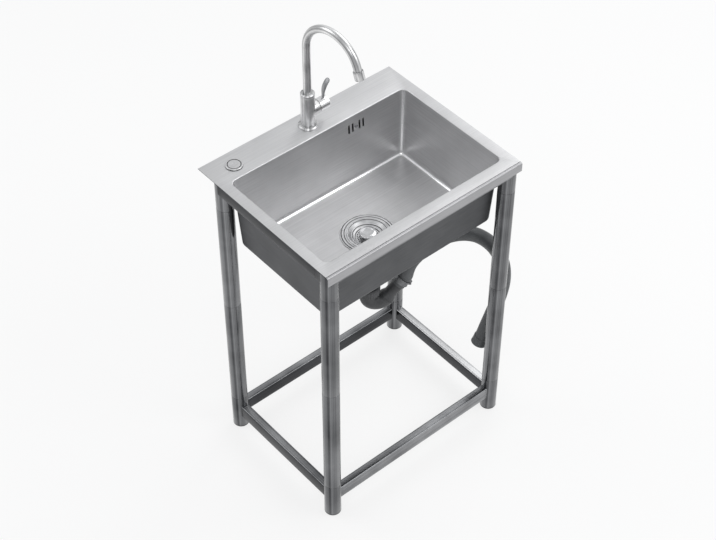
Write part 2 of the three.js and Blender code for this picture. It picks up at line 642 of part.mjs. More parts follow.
onDrain(piece('strainer_body', strainerBody(), POLISHED_STEEL));
onDrain(piece('strainer_outlet', strainerOutlet(), POLISHED_STEEL));
onDrain(piece('strainer_gasket', strainerGasket(), BLACK_RUBBER));
onDrain(piece('strainer_lock_nut', strainerLockNut(), GREY_PLASTIC));
onDrain(piece('strainer_basket', strainerBasket(), POLISHED_STEEL));
onDrain(piece('basket_knob', basketKnob(), POLISHED_STEEL));

// ---- Waste pipe and trap ------------------------------------------------------------------------

const TAIL_TOP = OUTLET_END + OUTLET_LENGTH / 2;
const TAIL_BOTTOM = BEND_CENTRE_Z + BEND_INLET - TAIL_IN_BEND;
const BEND_BORE = BEND_PIPE_RADIUS - PIPE_WALL;

function tailPipe() {
  return ring(TAIL_RADIUS - PIPE_WALL, TAIL_RADIUS, TAIL_BOTTOM, TAIL_TOP, BEND_SIDES);
}

// Slip nut round a socket's end and the pipe that comes out of it; towards is 1 for a socket above
// the nut's shoulder and -1 for one below it.
function slipNut(socketRadius, pipeRadius, wall, socketEnd, towards) {
  const outside = socketRadius + wall;
  const wide = clearOf(socketRadius, DRAIN_SIDES);
  const slim = clearOf(pipeRadius, DRAIN_SIDES);
  const shoulder = socketEnd - towards * TOUCH_GAP;
  const open = socketEnd + towards * (NUT_TALL - NUT_SHOULDER);
  const closed = shoulder - towards * NUT_SHOULDER;
  const profile = [
    [slim, closed], [outside, closed], [outside, open], [wide, open], [wide, shoulder], [slim, shoulder],
    [slim, closed],
  ];
  if (towards < 0) profile.reverse();
  return turned(profile, DRAIN_SIDES);
}

// A point of the trap's plane as a vector; distance is measured from the drain's axis.
function inPlane([distance, z]) {
  return new THREE.Vector3(distance, 0, z);
}

// U-bend: down the inlet, round the arc and up in line with the arm.
class TrapCurve extends THREE.Curve {
  getPoint(t) {
    const inlet = BEND_INLET;
    const arc = (Math.PI / 2 + TRAP_RISE) * BEND_RADIUS;
    const along = t * (inlet + arc);
    if (along < inlet) return inPlane([0, BEND_CENTRE_Z + inlet - along]);
    const angle = (along - inlet) / BEND_RADIUS;
    const distance = BEND_RADIUS * (1 - Math.cos(angle));
    return inPlane([distance, BEND_CENTRE_Z - BEND_RADIUS * Math.sin(angle)]);
  }
}

// Place and direction of the bend's outlet, where the arm starts.
const ARM_START = inPlane([
  BEND_RADIUS * (1 + Math.sin(TRAP_RISE)),
  BEND_CENTRE_Z - BEND_RADIUS * Math.cos(TRAP_RISE),
]);

// Upright piece whose zero height comes to the arm's start, tilted into the arm's line.
function onArm(geometry) {
  return geometry.rotateY(Math.PI / 2 - TRAP_RISE).translate(ARM_START.x, 0, ARM_START.z);
}

function trapArm() {
  const bore = ARM_RADIUS - PIPE_WALL;
  return onArm(turned([
    [bore, -ARM_IN_BEND], [ARM_RADIUS, -ARM_IN_BEND], [ARM_RADIUS, TOUCH_GAP],
    [BEND_PIPE_RADIUS, TOUCH_GAP], [ARM_RADIUS, ARM_TAPER], [ARM_RADIUS, ARM_LENGTH],
    [bore, ARM_LENGTH], [bore, -ARM_IN_BEND],
  ], BEND_SIDES));
}

function inTrapPlane(mesh) {
  mesh.position.set(0, DRAIN_Y, 0);
  mesh.rotation.z = TRAP_AIM;
}

const BEND_INLET_TOP = BEND_CENTRE_Z + BEND_INLET;
onDrain(piece('tail_pipe', tailPipe(), GREY_PLASTIC));
const tailNut = slipNut(OUTLET_OUTSIDE, TAIL_RADIUS, NUT_WALL, OUTLET_END, 1);
const trapNut = slipNut(BEND_PIPE_RADIUS, TAIL_RADIUS, TRAP_NUT_WALL, BEND_INLET_TOP, -1);
onDrain(piece('tail_slip_nut', tailNut, GREY_PLASTIC));
onDrain(piece('trap_slip_nut', trapNut, GREY_PLASTIC));
const trapBend = pipe(new TrapCurve(), BEND_PIPE_RADIUS, BEND_BORE, BEND_SIDES, BEND_STEPS);
inTrapPlane(piece('trap_bend', trapBend, GREY_PLASTIC));
inTrapPlane(piece('trap_arm', trapArm(), GREY_PLASTIC));

// ---- Drain hose and clamp -----------------------------------------------------------------------

const HOSE_START = ARM_LENGTH - HOSE_ON_ARM;
const HOSE_BORE = clearOf(ARM_RADIUS, HOSE_SIDES);
const HOSE_RADIUS = HOSE_BORE + HOSE_WALL;

function onRoute([distance, above]) {
  return inPlane([distance, BEND_CENTRE_Z + above]);
}

// The hose starts over the arm and follows its route to an open end.
function hoseCurve() {
  const alongArm = new THREE.Vector3(Math.cos(TRAP_RISE), 0, Math.sin(TRAP_RISE));
  const straight = [HOSE_START, ARM_LENGTH, ARM_LENGTH + HOSE_STRAIGHT];
  const onto = straight.map((reach) => ARM_START.clone().addScaledVector(alongArm, reach));
  return new THREE.CatmullRomCurve3([...onto, ...HOSE_ROUTE.map(onRoute)]);
}

function drainHose() {
  return pipe(hoseCurve(), HOSE_RADIUS, HOSE_BORE, HOSE_SIDES, HOSE_STEPS);
}

// Flared cuff over the hose's open end, in line with its last stretch.
function hoseEndCuff() {
  const end = onRoute(HOSE_ROUTE.at(-1));
  const before = onRoute(HOSE_ROUTE.at(-2));
  const back = before.clone().sub(end);
  const bore = clearOf(HOSE_RADIUS, BEND_SIDES);
  const cuff = turned([
    [HOSE_BORE, -CUFF_WALL], [bore + CUFF_WALL + CUFF_FLARE, -CUFF_WALL], [bore + CUFF_WALL, CUFF_LENGTH],
    [bore, CUFF_LENGTH], [bore, -TOUCH_GAP], [HOSE_BORE, -TOUCH_GAP], [HOSE_BORE, -CUFF_WALL],
  ], BEND_SIDES);
  return cuff.rotateY(Math.atan2(back.x, back.z)).translate(end.x, 0, end.z);
}

const CLAMP_BORE = clearOf(HOSE_RADIUS, BEND_SIDES);
const CLAMP_MIDDLE = HOSE_START + CLAMP_FROM_END;

function hoseClamp() {
  const outside = CLAMP_BORE + CLAMP_WALL;
  const low = CLAMP_MIDDLE - CLAMP_WIDTH / 2;
  const high = CLAMP_MIDDLE + CLAMP_WIDTH / 2;
  const band = ring(CLAMP_BORE, outside, low, high, BEND_SIDES);
  const half = CLAMP_HEAD / 2;
  const head = block(CLAMP_BORE + CLAMP_WALL / 2, outside + CLAMP_HEAD_TALL, -half, half, low, high);
  const screwBore = rod(CLAMP_SCREW_RADIUS + TOUCH_GAP, -CLAMP_HEAD, CLAMP_HEAD, SMALL_SIDES);
  screwBore.rotateX(Math.PI / 2).translate(outside + CLAMP_HEAD_TALL / 2, 0, CLAMP_MIDDLE);
  return onArm(cut(joined(band, head), screwBore));
}

function hoseClampScrew() {
  const half = CLAMP_SCREW_LENGTH / 2;
  const headStart = CLAMP_HEAD / 2 + TOUCH_GAP;
  const screw = turned([
    [0, -half], [CLAMP_SCREW_RADIUS, -half], [CLAMP_SCREW_RADIUS, headStart],
    [CLAMP_SCREW_HEAD, headStart], [CLAMP_SCREW_HEAD, half], [0, half],
  ], SMALL_SIDES);
  screw.rotateX(Math.PI / 2).translate(CLAMP_BORE + CLAMP_WALL + CLAMP_HEAD_TALL / 2, 0, CLAMP_MIDDLE);
  return onArm(screw);
}

inTrapPlane(piece('hose_clamp', hoseClamp(), POLISHED_STEEL));
inTrapPlane(piece('hose_clamp_screw', hoseClampScrew(), POLISHED_STEEL));
inTrapPlane(piece('drain_hose', drainHose(), HOSE_PLASTIC));
inTrapPlane(piece('hose_end_cuff', hoseEndCuff(), HOSE_PLASTIC));

// ---- Tap ----------------------------------------------------------------------------------------

function onTap(mesh) {
  mesh.position.set(0, TAP_Y, RIM_HEIGHT);
}

const BODY_FOOT = TOUCH_GAP * 2 + BASE_TALL;
const SPOUT_FOOT = BODY_TOP + COLLAR_TALL - SPOUT_IN_BODY;
const SOCKET_RADIUS = SPOUT_RADIUS + SLIDE_GAP;
const WATERWAY = TAP_SHANK_RADIUS - TAP_SHANK_WALL;

function tapBaseFlange() {
  const bore = TAP_SHANK_RADIUS + TOUCH_GAP;
  return turned([
    [bore, TOUCH_GAP], [BASE_RADIUS, TOUCH_GAP], [BASE_RADIUS, BASE_EDGE],
    [BASE_RADIUS - BASE_SLOPE, BASE_TALL - TOUCH_GAP * 2], [BODY_RADIUS, BASE_TALL + TOUCH_GAP],
    [bore, BASE_TALL + TOUCH_GAP], [bore, TOUCH_GAP],
  ], TAP_SIDES);
}

// Upright body with the side housing, its waterway and the cartridge's seat.
function tapBody() {
  const shankSeat = BODY_FOOT + SHANK_IN_BODY;
  const upright = turned([
    [0, BODY_FOOT], [BODY_RADIUS, BODY_FOOT], [BODY_RADIUS, BODY_TOP], [0, BODY_TOP],
  ], TAP_SIDES);
  const housing = layAlongX(rod(SIDE_RADIUS, 0, SIDE_REACH, TAP_SIDES)).translate(0, 0, SIDE_HEIGHT);
  const waterway = rod(WATERWAY, BODY_FOOT - PAST, BODY_TOP + PAST, SMALL_SIDES);
  const shankBore = rod(TAP_SHANK_RADIUS + TOUCH_GAP, BODY_FOOT - PAST, shankSeat, TAP_SIDES);
  const spoutSocket = rod(SOCKET_RADIUS, SPOUT_FOOT - TOUCH_GAP, BODY_TOP + PAST, TAP_SIDES);
  const seat = SIDE_REACH - CARTRIDGE_LENGTH;
  const cartridgeBore = layAlongX(rod(CARTRIDGE_RADIUS + TOUCH_GAP, seat, SIDE_REACH + PAST, TAP_SIDES));
  return cut(
    joined(upright, housing),
    waterway,
    shankBore,
    spoutSocket,
    cartridgeBore.translate(0, 0, SIDE_HEIGHT));
}

// Collar ring that holds the spout in the body's top.
function spoutCollar() {
  const low = BODY_TOP + TOUCH_GAP;
  const high = BODY_TOP + COLLAR_TALL;
  return turned([
    [SOCKET_RADIUS, low], [BODY_RADIUS, low], [BODY_RADIUS, high - COLLAR_EDGE],
    [BODY_RADIUS - COLLAR_EDGE, high], [SOCKET_RADIUS, high], [SOCKET_RADIUS, low],
  ], TAP_SIDES);
}

function tapShank() {
  const top = BODY_FOOT + SHANK_IN_BODY - TOUCH_GAP;
  return ring(WATERWAY, TAP_SHANK_RADIUS, -TAP_SHANK_BELOW, top, TAP_SIDES);
}

function tapWasher() {
  const top = -SHEET - TOUCH_GAP;
  return ring(TAP_SHANK_RADIUS + TOUCH_GAP, TAP_NUT_RADIUS, top - TAP_WASHER_THICK, top, TAP_SIDES);
}

function tapLockNut() {
  const top = -SHEET - TAP_WASHER_THICK - TOUCH_GAP * 2;
  return ring(TAP_SHANK_RADIUS + TOUCH_GAP, TAP_NUT_RADIUS, top - TAP_NUT_TALL, top, TAP_SIDES);
}

// Ceramic cartridge in the side housing, with its stem reaching into the handle hub.
function tapCartridge() {
  const back = SIDE_REACH - CARTRIDGE_LENGTH + TOUCH_GAP;
  const stemEnd = SIDE_REACH + HUB_GAP + STEM_LENGTH;
  return layAlongX(turned([
    [0, back], [CARTRIDGE_RADIUS, back], [CARTRIDGE_RADIUS, SIDE_REACH], [STEM_RADIUS, SIDE_REACH],
    [STEM_RADIUS, stemEnd], [0, stemEnd],
  ], TAP_SIDES)).translate(0, 0, SIDE_HEIGHT);
}

const HUB_START = SIDE_REACH + HUB_GAP;
const HUB_END = HUB_START + HUB_LENGTH;
const LEVER_X = HUB_START + LEVER_FROM_HUB;

// Hollow handle hub: a shell round the stem, with a boss that grips the stem's end.
function tapHandleHub() {
  const bore = STEM_RADIUS + TOUCH_GAP;
  const hollow = SIDE_RADIUS - HUB_WALL;
  const web = HUB_START + HUB_WALL * 2;
  const stemEnd = SIDE_REACH + HUB_GAP + STEM_LENGTH + TOUCH_GAP;
  const hub = turned([
    [hollow, HUB_START], [SIDE_RADIUS, HUB_START], [SIDE_RADIUS, HUB_END - HUB_ROUND],
    [SIDE_RADIUS - HUB_ROUND, HUB_END], [0, HUB_END], [0, stemEnd], [bore, stemEnd], [bore, web],
    [hollow, web], [hollow, HUB_START],
  ], TAP_SIDES);
  const pinHole = rod(LEVER_PIN_RADIUS + TOUCH_GAP, SIDE_RADIUS - HUB_WALL * 2, SIDE_RADIUS + PAST,
    SMALL_SIDES);
  return cut(layAlongX(hub), pinHole.translate(LEVER_X, 0, 0)).translate(0, 0, SIDE_HEIGHT);
}

// Paddle lever: a blade that curves outwards and widens to a round tip, on a root pin.
function tapLever() {
  const root = SIDE_RADIUS + TOUCH_GAP * 2;
  const half = LEVER_THICK / 2;
  const outer = [];
  const inner = [];
  for (let step = 0; step <= LEVER_STEPS; step += 1) {
    const share = step / LEVER_STEPS;
    const x = LEVER_X + LEVER_LEAN * share ** 3;
    const z = root + LEVER_TALL * share;
    outer.push([x + half, z]);
    inner.unshift([x - half, z]);
  }
  const wide = LEVER_TIP_WIDTH / 2;
  const narrow = LEVER_ROOT_WIDTH / 2;
  const blade = new THREE.ExtrudeGeometry(polygon([...outer, ...inner]), {
    depth: LEVER_TIP_WIDTH, bevelEnabled: false,
  }).rotateX(Math.PI / 2).translate(0, wide, 0);
  const flat = LEVER_TIP_FLAT / 2;
  const tip = root + LEVER_TALL;
  const front = polygon([
    [-narrow, root - PAST], [narrow, root - PAST], [wide, root + LEVER_TALL * LEVER_WIDENS],
    [wide, tip - LEVER_TIP_CUT], [flat, tip], [-flat, tip], [-wide, tip - LEVER_TIP_CUT],
    [-wide, root + LEVER_TALL * LEVER_WIDENS],
  ]);
  const outline = alongX(front, LEVER_X - LEVER_THICK, LEVER_X + LEVER_LEAN + LEVER_THICK, 1);
  const pin = rod(LEVER_PIN_RADIUS, root + half - LEVER_PIN_LENGTH, root + half, SMALL_SIDES);
  const shaped = solid(blade).intersect(solid(outline)).add(solid(pin.translate(LEVER_X, 0, 0)));
  return geometryOf(shaped).translate(0, 0, SIDE_HEIGHT);
}

// Gooseneck: straight up, round the arc, then a short straight end.
class SpoutCurve extends THREE.Curve {
  getPoint(t) {
    const rise = SPOUT_RISE - SPOUT_FOOT;
    const arc = SPOUT_SWEEP * SPOUT_ARC_RADIUS;
    const along = t * (rise + arc + SPOUT_TAIL);
    if (along < rise) return new THREE.Vector3(0, 0, SPOUT_FOOT + along);
    const angle = Math.min((along - rise) / SPOUT_ARC_RADIUS, SPOUT_SWEEP);
    const past = Math.max(along - rise - arc, 0);
    const forward = SPOUT_ARC_RADIUS * (1 - Math.cos(angle)) + past * Math.sin(angle);
    const up = SPOUT_RISE + SPOUT_ARC_RADIUS * Math.sin(angle) + past * Math.cos(angle);
    return new THREE.Vector3(0, -forward, up);
  }
}

// Aerator sleeve over the tube's end, in line with it.
function aerator() {
  const end = new SpoutCurve().getPoint(1);
  const bore = SPOUT_RADIUS + TOUCH_GAP * 2;
  const mouth = SPOUT_RADIUS - SPOUT_WALL * 2;
  const top = AERATOR_LENGTH - AERATOR_BELOW;
  const sleeve = turned([
    [mouth, -AERATOR_BELOW], [AERATOR_RADIUS, -AERATOR_BELOW], [AERATOR_RADIUS, top],
    [bore, top], [bore, -TOUCH_GAP], [mouth, -TOUCH_GAP], [mouth, -AERATOR_BELOW],
  ], TAP_SIDES);
  return sleeve.rotateX(SPOUT_SWEEP - Math.PI).translate(0, end.y, end.z);
}

function onSpout(mesh) {
  onTap(mesh);
  mesh.rotation.z = SPOUT_AIM;
}

onTap(piece('tap_base_flange', tapBaseFlange(), TAP_STEEL));
onTap(piece('tap_body', tapBody(), TAP_STEEL));
onTap(piece('spout_collar', spoutCollar(), TAP_STEEL));
onTap(piece('tap_shank', tapShank(), TAP_STEEL));
onTap(piece('tap_washer', tapWasher(), BLACK_RUBBER));
onTap(piece('tap_lock_nut', tapLockNut(), TAP_STEEL));
onTap(piece('tap_cartridge', tapCartridge(), CERAMIC));
onTap(piece('tap_handle_hub', tapHandleHub(), TAP_STEEL));
onTap(piece('tap_lever', tapLever(), TAP_STEEL));
const spoutTube = pipe(new SpoutCurve(), SPOUT_RADIUS, SPOUT_RADIUS - SPOUT_WALL, SPOUT_SIDES, SPOUT_STEPS);
onSpout(piece('spout_tube', spoutTube, TAP_STEEL));
onSpout(piece('aerator', aerator(), TAP_STEEL));

// ---- Stand --------------------------------------------------------------------------------------

// Each corner: its name, its side of the deck, and its way along Y to the next leg.
const CORNERS = [
  { name: 'front_left', sideX: -1, y: FRONT_LEG_Y, inwardY: 1, crossRailY: FRONT_RAIL_Y },
  { name: 'front_right', sideX: 1, y: FRONT_LEG_Y, inwardY: 1, crossRailY: FRONT_RAIL_Y },
  { name: 'rear_left', sideX: -1, y: REAR_LEG_Y, inwardY: -1, crossRailY: REAR_RAIL_Y },
  { name: 'rear_right', sideX: 1, y: REAR_LEG_Y, inwardY: -1, crossRailY: REAR_RAIL_Y },
];
const SPIGOT_RADIUS = LEG_BORE - SLIDE_GAP;
const SPIGOT_BORE = SPIGOT_RADIUS - LEG_WALL;

// A rail's rounded section in (y, z), drawn in by inset.
function railSection(path, { low, tall }, inset) {
  const half = RAIL_WIDTH / 2 - inset;
  const round = Math.max(RAIL_ROUND - inset, LEAST_CORNER);
  const bottom = low + inset + round;
  const top = low + tall - inset - round;
  path.absarc(half - round, bottom, round, -Math.PI / 2, 0, false);
  path.absarc(half - round, top, round, 0, Math.PI / 2, false);
  path.absarc(round - half, top, round, Math.PI / 2, Math.PI, false);
  path.absarc(round - half, bottom, round, Math.PI, Math.PI * 1.5, false);
  return path;
}

// Rail socket along +X from a leg's axis: a boss as large as the rail, then a spigot inside it.
function railSocket(size) {
  const boss = alongX(railSection(new THREE.Shape(), size, 0), 0, BOSS_END, 1);
  const slim = railSection(new THREE.Shape(), size, RAIL_WALL + SLIDE_GAP);
  return joined(boss, alongX(slim, BOSS_END - PAST, BOSS_END + SPIGOT_LENGTH, 1));
}

// Both sockets of a corner: one across to the other side, one along Y to the next leg.
function cornerSockets(corner, size, acrossOffset, alongOffset) {
  const across = railSocket(size);
  if (corner.sideX > 0) across.rotateZ(Math.PI);
  const along = railSocket(size).rotateZ(corner.inwardY * Math.PI / 2);
  return [across.translate(0, acrossOffset, 0), along.translate(corner.sideX * alongOffset, 0, 0)];
}

// Top corner: closed sleeve under the deck, sockets for two rails, spigot down into the leg.
function topCorner(corner) {
  const top = DECK_UNDER - TOUCH_GAP;
  const seam = DECK_UNDER - CORNER_TOP_TALL;
  const tip = seam - SPIGOT_LENGTH;
  const sleeve = turned([
    [0, tip], [SPIGOT_RADIUS, tip], [SPIGOT_RADIUS, seam], [LEG_RADIUS, seam],
    [LEG_RADIUS, top - RAIL_ROUND], [LEG_RADIUS - RAIL_ROUND, top], [0, top],
  ], LEG_SIDES);
  const sockets = cornerSockets(corner, TOP_RAIL, corner.crossRailY - corner.y, SIDE_RAIL_OFFSET);
  const bore = rod(SPIGOT_BORE, tip - PAST, top - LEG_WALL * 2, LEG_SIDES);
  return cut(joined(sleeve, ...sockets), bore);
}

// Lower corner: open sleeve on the foot, sockets for two rails, spigot up into the leg.
function lowerCorner(corner) {
  const bottom = FOOT_TALL + TOUCH_GAP;
  const tip = CORNER_LOW_TOP + SPIGOT_LENGTH;
  const outside = turned([
    [0, bottom], [LEG_RADIUS, bottom], [LEG_RADIUS, CORNER_LOW_TOP], [SPIGOT_RADIUS, CORNER_LOW_TOP],
    [SPIGOT_RADIUS, tip], [0, tip],
  ], LEG_SIDES);
  const bore = rod(SPIGOT_BORE, bottom - PAST, tip + PAST, LEG_SIDES);
  return cut(joined(outside, ...cornerSockets(corner, LOW_RAIL, 0, 0)), bore);
}

function lowerLeg() {
  return ring(LEG_BORE, LEG_RADIUS, CORNER_LOW_TOP + TOUCH_GAP, MID_JOINT_Z, LEG_SIDES);
}

// Upper leg: its lower end is drawn in to slide into the lower leg.
function upperLeg() {
  const bottom = MID_JOINT_Z + TOUCH_GAP;
  const tip = bottom - SPIGOT_LENGTH;
  const top = DECK_UNDER - CORNER_TOP_TALL - TOUCH_GAP;
  return turned([
    [SPIGOT_BORE, tip], [SPIGOT_RADIUS, tip], [SPIGOT_RADIUS, bottom], [LEG_RADIUS, bottom],
    [LEG_RADIUS, top], [LEG_BORE, top], [LEG_BORE, bottom + LEG_WALL], [SPIGOT_BORE, bottom],
    [SPIGOT_BORE, tip],
  ], LEG_SIDES);
}

// Foot: a plug in the corner's sleeve with a rounded sole.
function footPad() {
  const plug = SPIGOT_BORE - SLIDE_GAP;
  return turned([
    [0, 0], [LEG_RADIUS - FOOT_ROUND, 0], [LEG_RADIUS, FOOT_ROUND], [LEG_RADIUS, FOOT_TALL],
    [plug, FOOT_TALL], [plug, FOOT_TALL + FOOT_PLUG], [0, FOOT_TALL + FOOT_PLUG],
  ], LEG_SIDES);
}

// A rectangular tube along X between x0 and x1, its section centred on y = 0.
function rail(x0, x1, size) {
  const section = railSection(new THREE.Shape(), size, 0);
  section.holes.push(railSection(new THREE.Path(), size, RAIL_WALL));
  return alongX(section, x0, x1, 1);
}

const RAIL_START = BOSS_END + TOUCH_GAP;

function crossRail(size) {
  return rail(-LEG_X + RAIL_START, LEG_X - RAIL_START, size);
}

function sideRail(size) {
  return rail(FRONT_LEG_Y + RAIL_START, REAR_LEG_Y - RAIL_START, size).rotateZ(Math.PI / 2);
}

for (const corner of CORNERS) {
  const pieces = [
    piece('foot_pad_' + corner.name, footPad(), BLACK_RUBBER),
    piece('lower_corner_' + corner.name, lowerCorner(corner), POLISHED_STEEL),
    piece('lower_leg_' + corner.name, lowerLeg(), POLISHED_STEEL),
    piece('upper_leg_' + corner.name, upperLeg(), POLISHED_STEEL),
    piece('top_corner_' + corner.name, topCorner(corner), POLISHED_STEEL),
  ];
  for (const mesh of pieces) mesh.position.set(corner.sideX * LEG_X, corner.y, 0);
}

for (const [level, size] of [['lower', LOW_RAIL], ['top', TOP_RAIL]]) {
  const isTop = level === 'top';
  const outward = isTop ? SIDE_RAIL_OFFSET : 0;
  const frontY = isTop ? FRONT_RAIL_Y : FRONT_LEG_Y;
  const rearY = isTop ? REAR_RAIL_Y : REAR_LEG_Y;
  piece(level + '_rail_front', crossRail(size), POLISHED_STEEL).position.y = frontY;
  piece(level + '_rail_rear', crossRail(size), POLISHED_STEEL).position.y = rearY;
  piece(level + '_rail_left', sideRail(size), POLISHED_STEEL).position.x = -LEG_X - outward;
  piece(level + '_rail_right', sideRail(size), POLISHED_STEEL).position.x = LEG_X + outward;
}

export default sink;
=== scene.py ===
"""A free-standing stainless steel kitchen sink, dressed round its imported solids.

The deck and bowl are one brushed sheet pressing on a stand of polished tube. A gooseneck tap, a
basket strainer, a plastic trap and a grey drain hose complete it. Sizes are in millimetres until
a mesh is made, and every piece lies where its solid does.
"""

import json
import math

import bmesh
import bpy
import numpy as np
from mathutils import Matrix, Vector

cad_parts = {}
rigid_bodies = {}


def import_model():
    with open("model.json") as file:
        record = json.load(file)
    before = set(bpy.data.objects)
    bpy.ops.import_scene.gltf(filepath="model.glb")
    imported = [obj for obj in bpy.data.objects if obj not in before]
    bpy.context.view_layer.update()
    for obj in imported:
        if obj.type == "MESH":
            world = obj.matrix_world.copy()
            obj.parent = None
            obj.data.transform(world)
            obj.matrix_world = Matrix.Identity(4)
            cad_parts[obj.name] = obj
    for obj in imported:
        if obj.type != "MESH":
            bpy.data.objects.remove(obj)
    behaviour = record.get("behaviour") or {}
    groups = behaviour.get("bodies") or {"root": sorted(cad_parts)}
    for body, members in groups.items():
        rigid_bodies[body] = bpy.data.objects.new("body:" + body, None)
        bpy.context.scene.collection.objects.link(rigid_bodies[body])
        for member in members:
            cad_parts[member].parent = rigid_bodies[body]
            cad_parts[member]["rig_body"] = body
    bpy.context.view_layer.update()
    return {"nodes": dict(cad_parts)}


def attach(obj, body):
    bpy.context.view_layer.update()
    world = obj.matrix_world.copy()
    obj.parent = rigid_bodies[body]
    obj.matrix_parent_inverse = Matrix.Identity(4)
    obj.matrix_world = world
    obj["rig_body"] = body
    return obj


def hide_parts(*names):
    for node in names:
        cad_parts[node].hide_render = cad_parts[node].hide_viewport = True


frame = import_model()

# ---- Camera -------------------------------------------------------------------------------------
# The photograph was taken from above the front left corner with a long lens, looking down at
# about 45 degrees. These are that camera's lens, place and angles.

LENS_MM = 83.48
CAMERA_PLACE = (-1.7549, -2.0510, 3.2121)
CAMERA_AZIMUTH, CAMERA_ELEVATION, CAMERA_ROLL = np.radians([-40.4408, 45.2248, 0.0662])

lens = bpy.data.cameras.new("photo_camera")
lens.lens = LENS_MM
lens.clip_end = 100
camera = bpy.data.objects.new("photo_camera", lens)
camera.matrix_world = (Matrix.Translation(CAMERA_PLACE)
                       @ Matrix.Rotation(CAMERA_AZIMUTH, 4, "Z")
                       @ Matrix.Rotation(math.pi / 2 - CAMERA_ELEVATION, 4, "X")
                       @ Matrix.Rotation(CAMERA_ROLL, 4, "Z"))
bpy.context.scene.collection.objects.link(camera)
bpy.context.scene.camera = camera

# ---- Drain hose ---------------------------------------------------------------------------------
# A smooth hose of grey soft plastic, about 35 mm outside. It is pushed over the trap's arm, rises
# behind the bowl, arches over and hangs down past the right side to an open, flared end.

MM = 0.001
DRAIN_Y = -26.7
TRAP_AIM = math.radians(-24)
TRAP_RISE = math.radians(51.6)
BEND_CENTRE_Z = 429
BEND_RADIUS = 26
ARM_LENGTH = 62
HOSE_ON_ARM = 18
HOSE_RADIUS = 17.6
HOSE_BORE = 15.9
HOSE_ROUTE = np.array([
    (95, 57), (101, 75), (112, 92), (132, 112), (155, 128), (181, 138), (208, 141), (235, 136),
    (260, 124), (283, 104), (304, 77), (320, 47), (331, 15), (337, -18), (338, -51), (334, -85),
    (326, -122), (315, -160), (303, -201), (296, -226), (288, -251)], float)
HOSE_GREY, HOSE_DARK = "#57595B", "#424446"
EVEN_MM = 0.02   # points nearer than this are one point


def linear(colour):
    """An sRGB hex colour as linear RGBA: the low end is a straight line, the rest a 2.4 power."""
    part = np.array([int(colour[at:at + 2], 16) / 255 for at in (1, 3, 5)])
    part = np.where(part <= 0.04045, part / 12.92, ((part + 0.055) / 1.055) ** 2.4)
    return (*part, 1.0)


def node(finish, kind, settings=(), **inputs):
    """Adds a node to a material. settings holds its own properties. An input is named with _ for a
    space, or by i and its number, and takes a value, a node (its first output) or an output."""
    finish.use_nodes = True
    if kind == "BsdfPrincipled":
        made = finish.node_tree.nodes["Principled BSDF"]
    else:
        made = finish.node_tree.nodes.new("ShaderNode" + kind)
    for name, value in dict(settings).items():
        setattr(made, name, value)
    for name, value in inputs.items():
        place = made.inputs[int(name[1:]) if name[1:].isdigit() else name.replace("_", " ")]
        if isinstance(value, bpy.types.Node):
            value = value.outputs[0]
        if isinstance(value, bpy.types.NodeSocket):
            finish.node_tree.links.new(value, place)
        else:
            place.default_value = value
    return made


def moulded_finish(name, dark, light, gloss, cloud_mm, grain_mm, depth_mm):
    """Moulded plastic or rubber: slow clouds between two shades, a fine grain that stands depth_mm
    proud, and a gloss that goes up and down with the grain. Noise lies mostly from 0.3 to 0.7, so
    that span is spread over each pair of values."""
    finish = bpy.data.materials.new(name)
    place = node(finish, "TexCoord").outputs["Object"]
    cloud = node(finish, "TexNoise", Vector=place, Scale=1 / (cloud_mm * MM), Detail=3.0)
    grain = node(finish, "TexNoise", Vector=place, Scale=1 / (grain_mm * MM), Detail=2.0)
    share = node(finish, "MapRange", Value=cloud, From_Min=0.3, From_Max=0.7)
    shade = node(finish, "Mix", {"data_type": "RGBA"}, i0=share, i6=linear(dark), i7=linear(light)).outputs[2]
    matt = node(finish, "MapRange", Value=grain, From_Min=0.3, From_Max=0.7,
                To_Min=gloss - 0.07, To_Max=gloss + 0.07)
    relief = node(finish, "Bump", Height=grain, Distance=depth_mm * MM)
    node(finish, "BsdfPrincipled", Base_Color=shade, Roughness=matt, Normal=relief)
    return finish


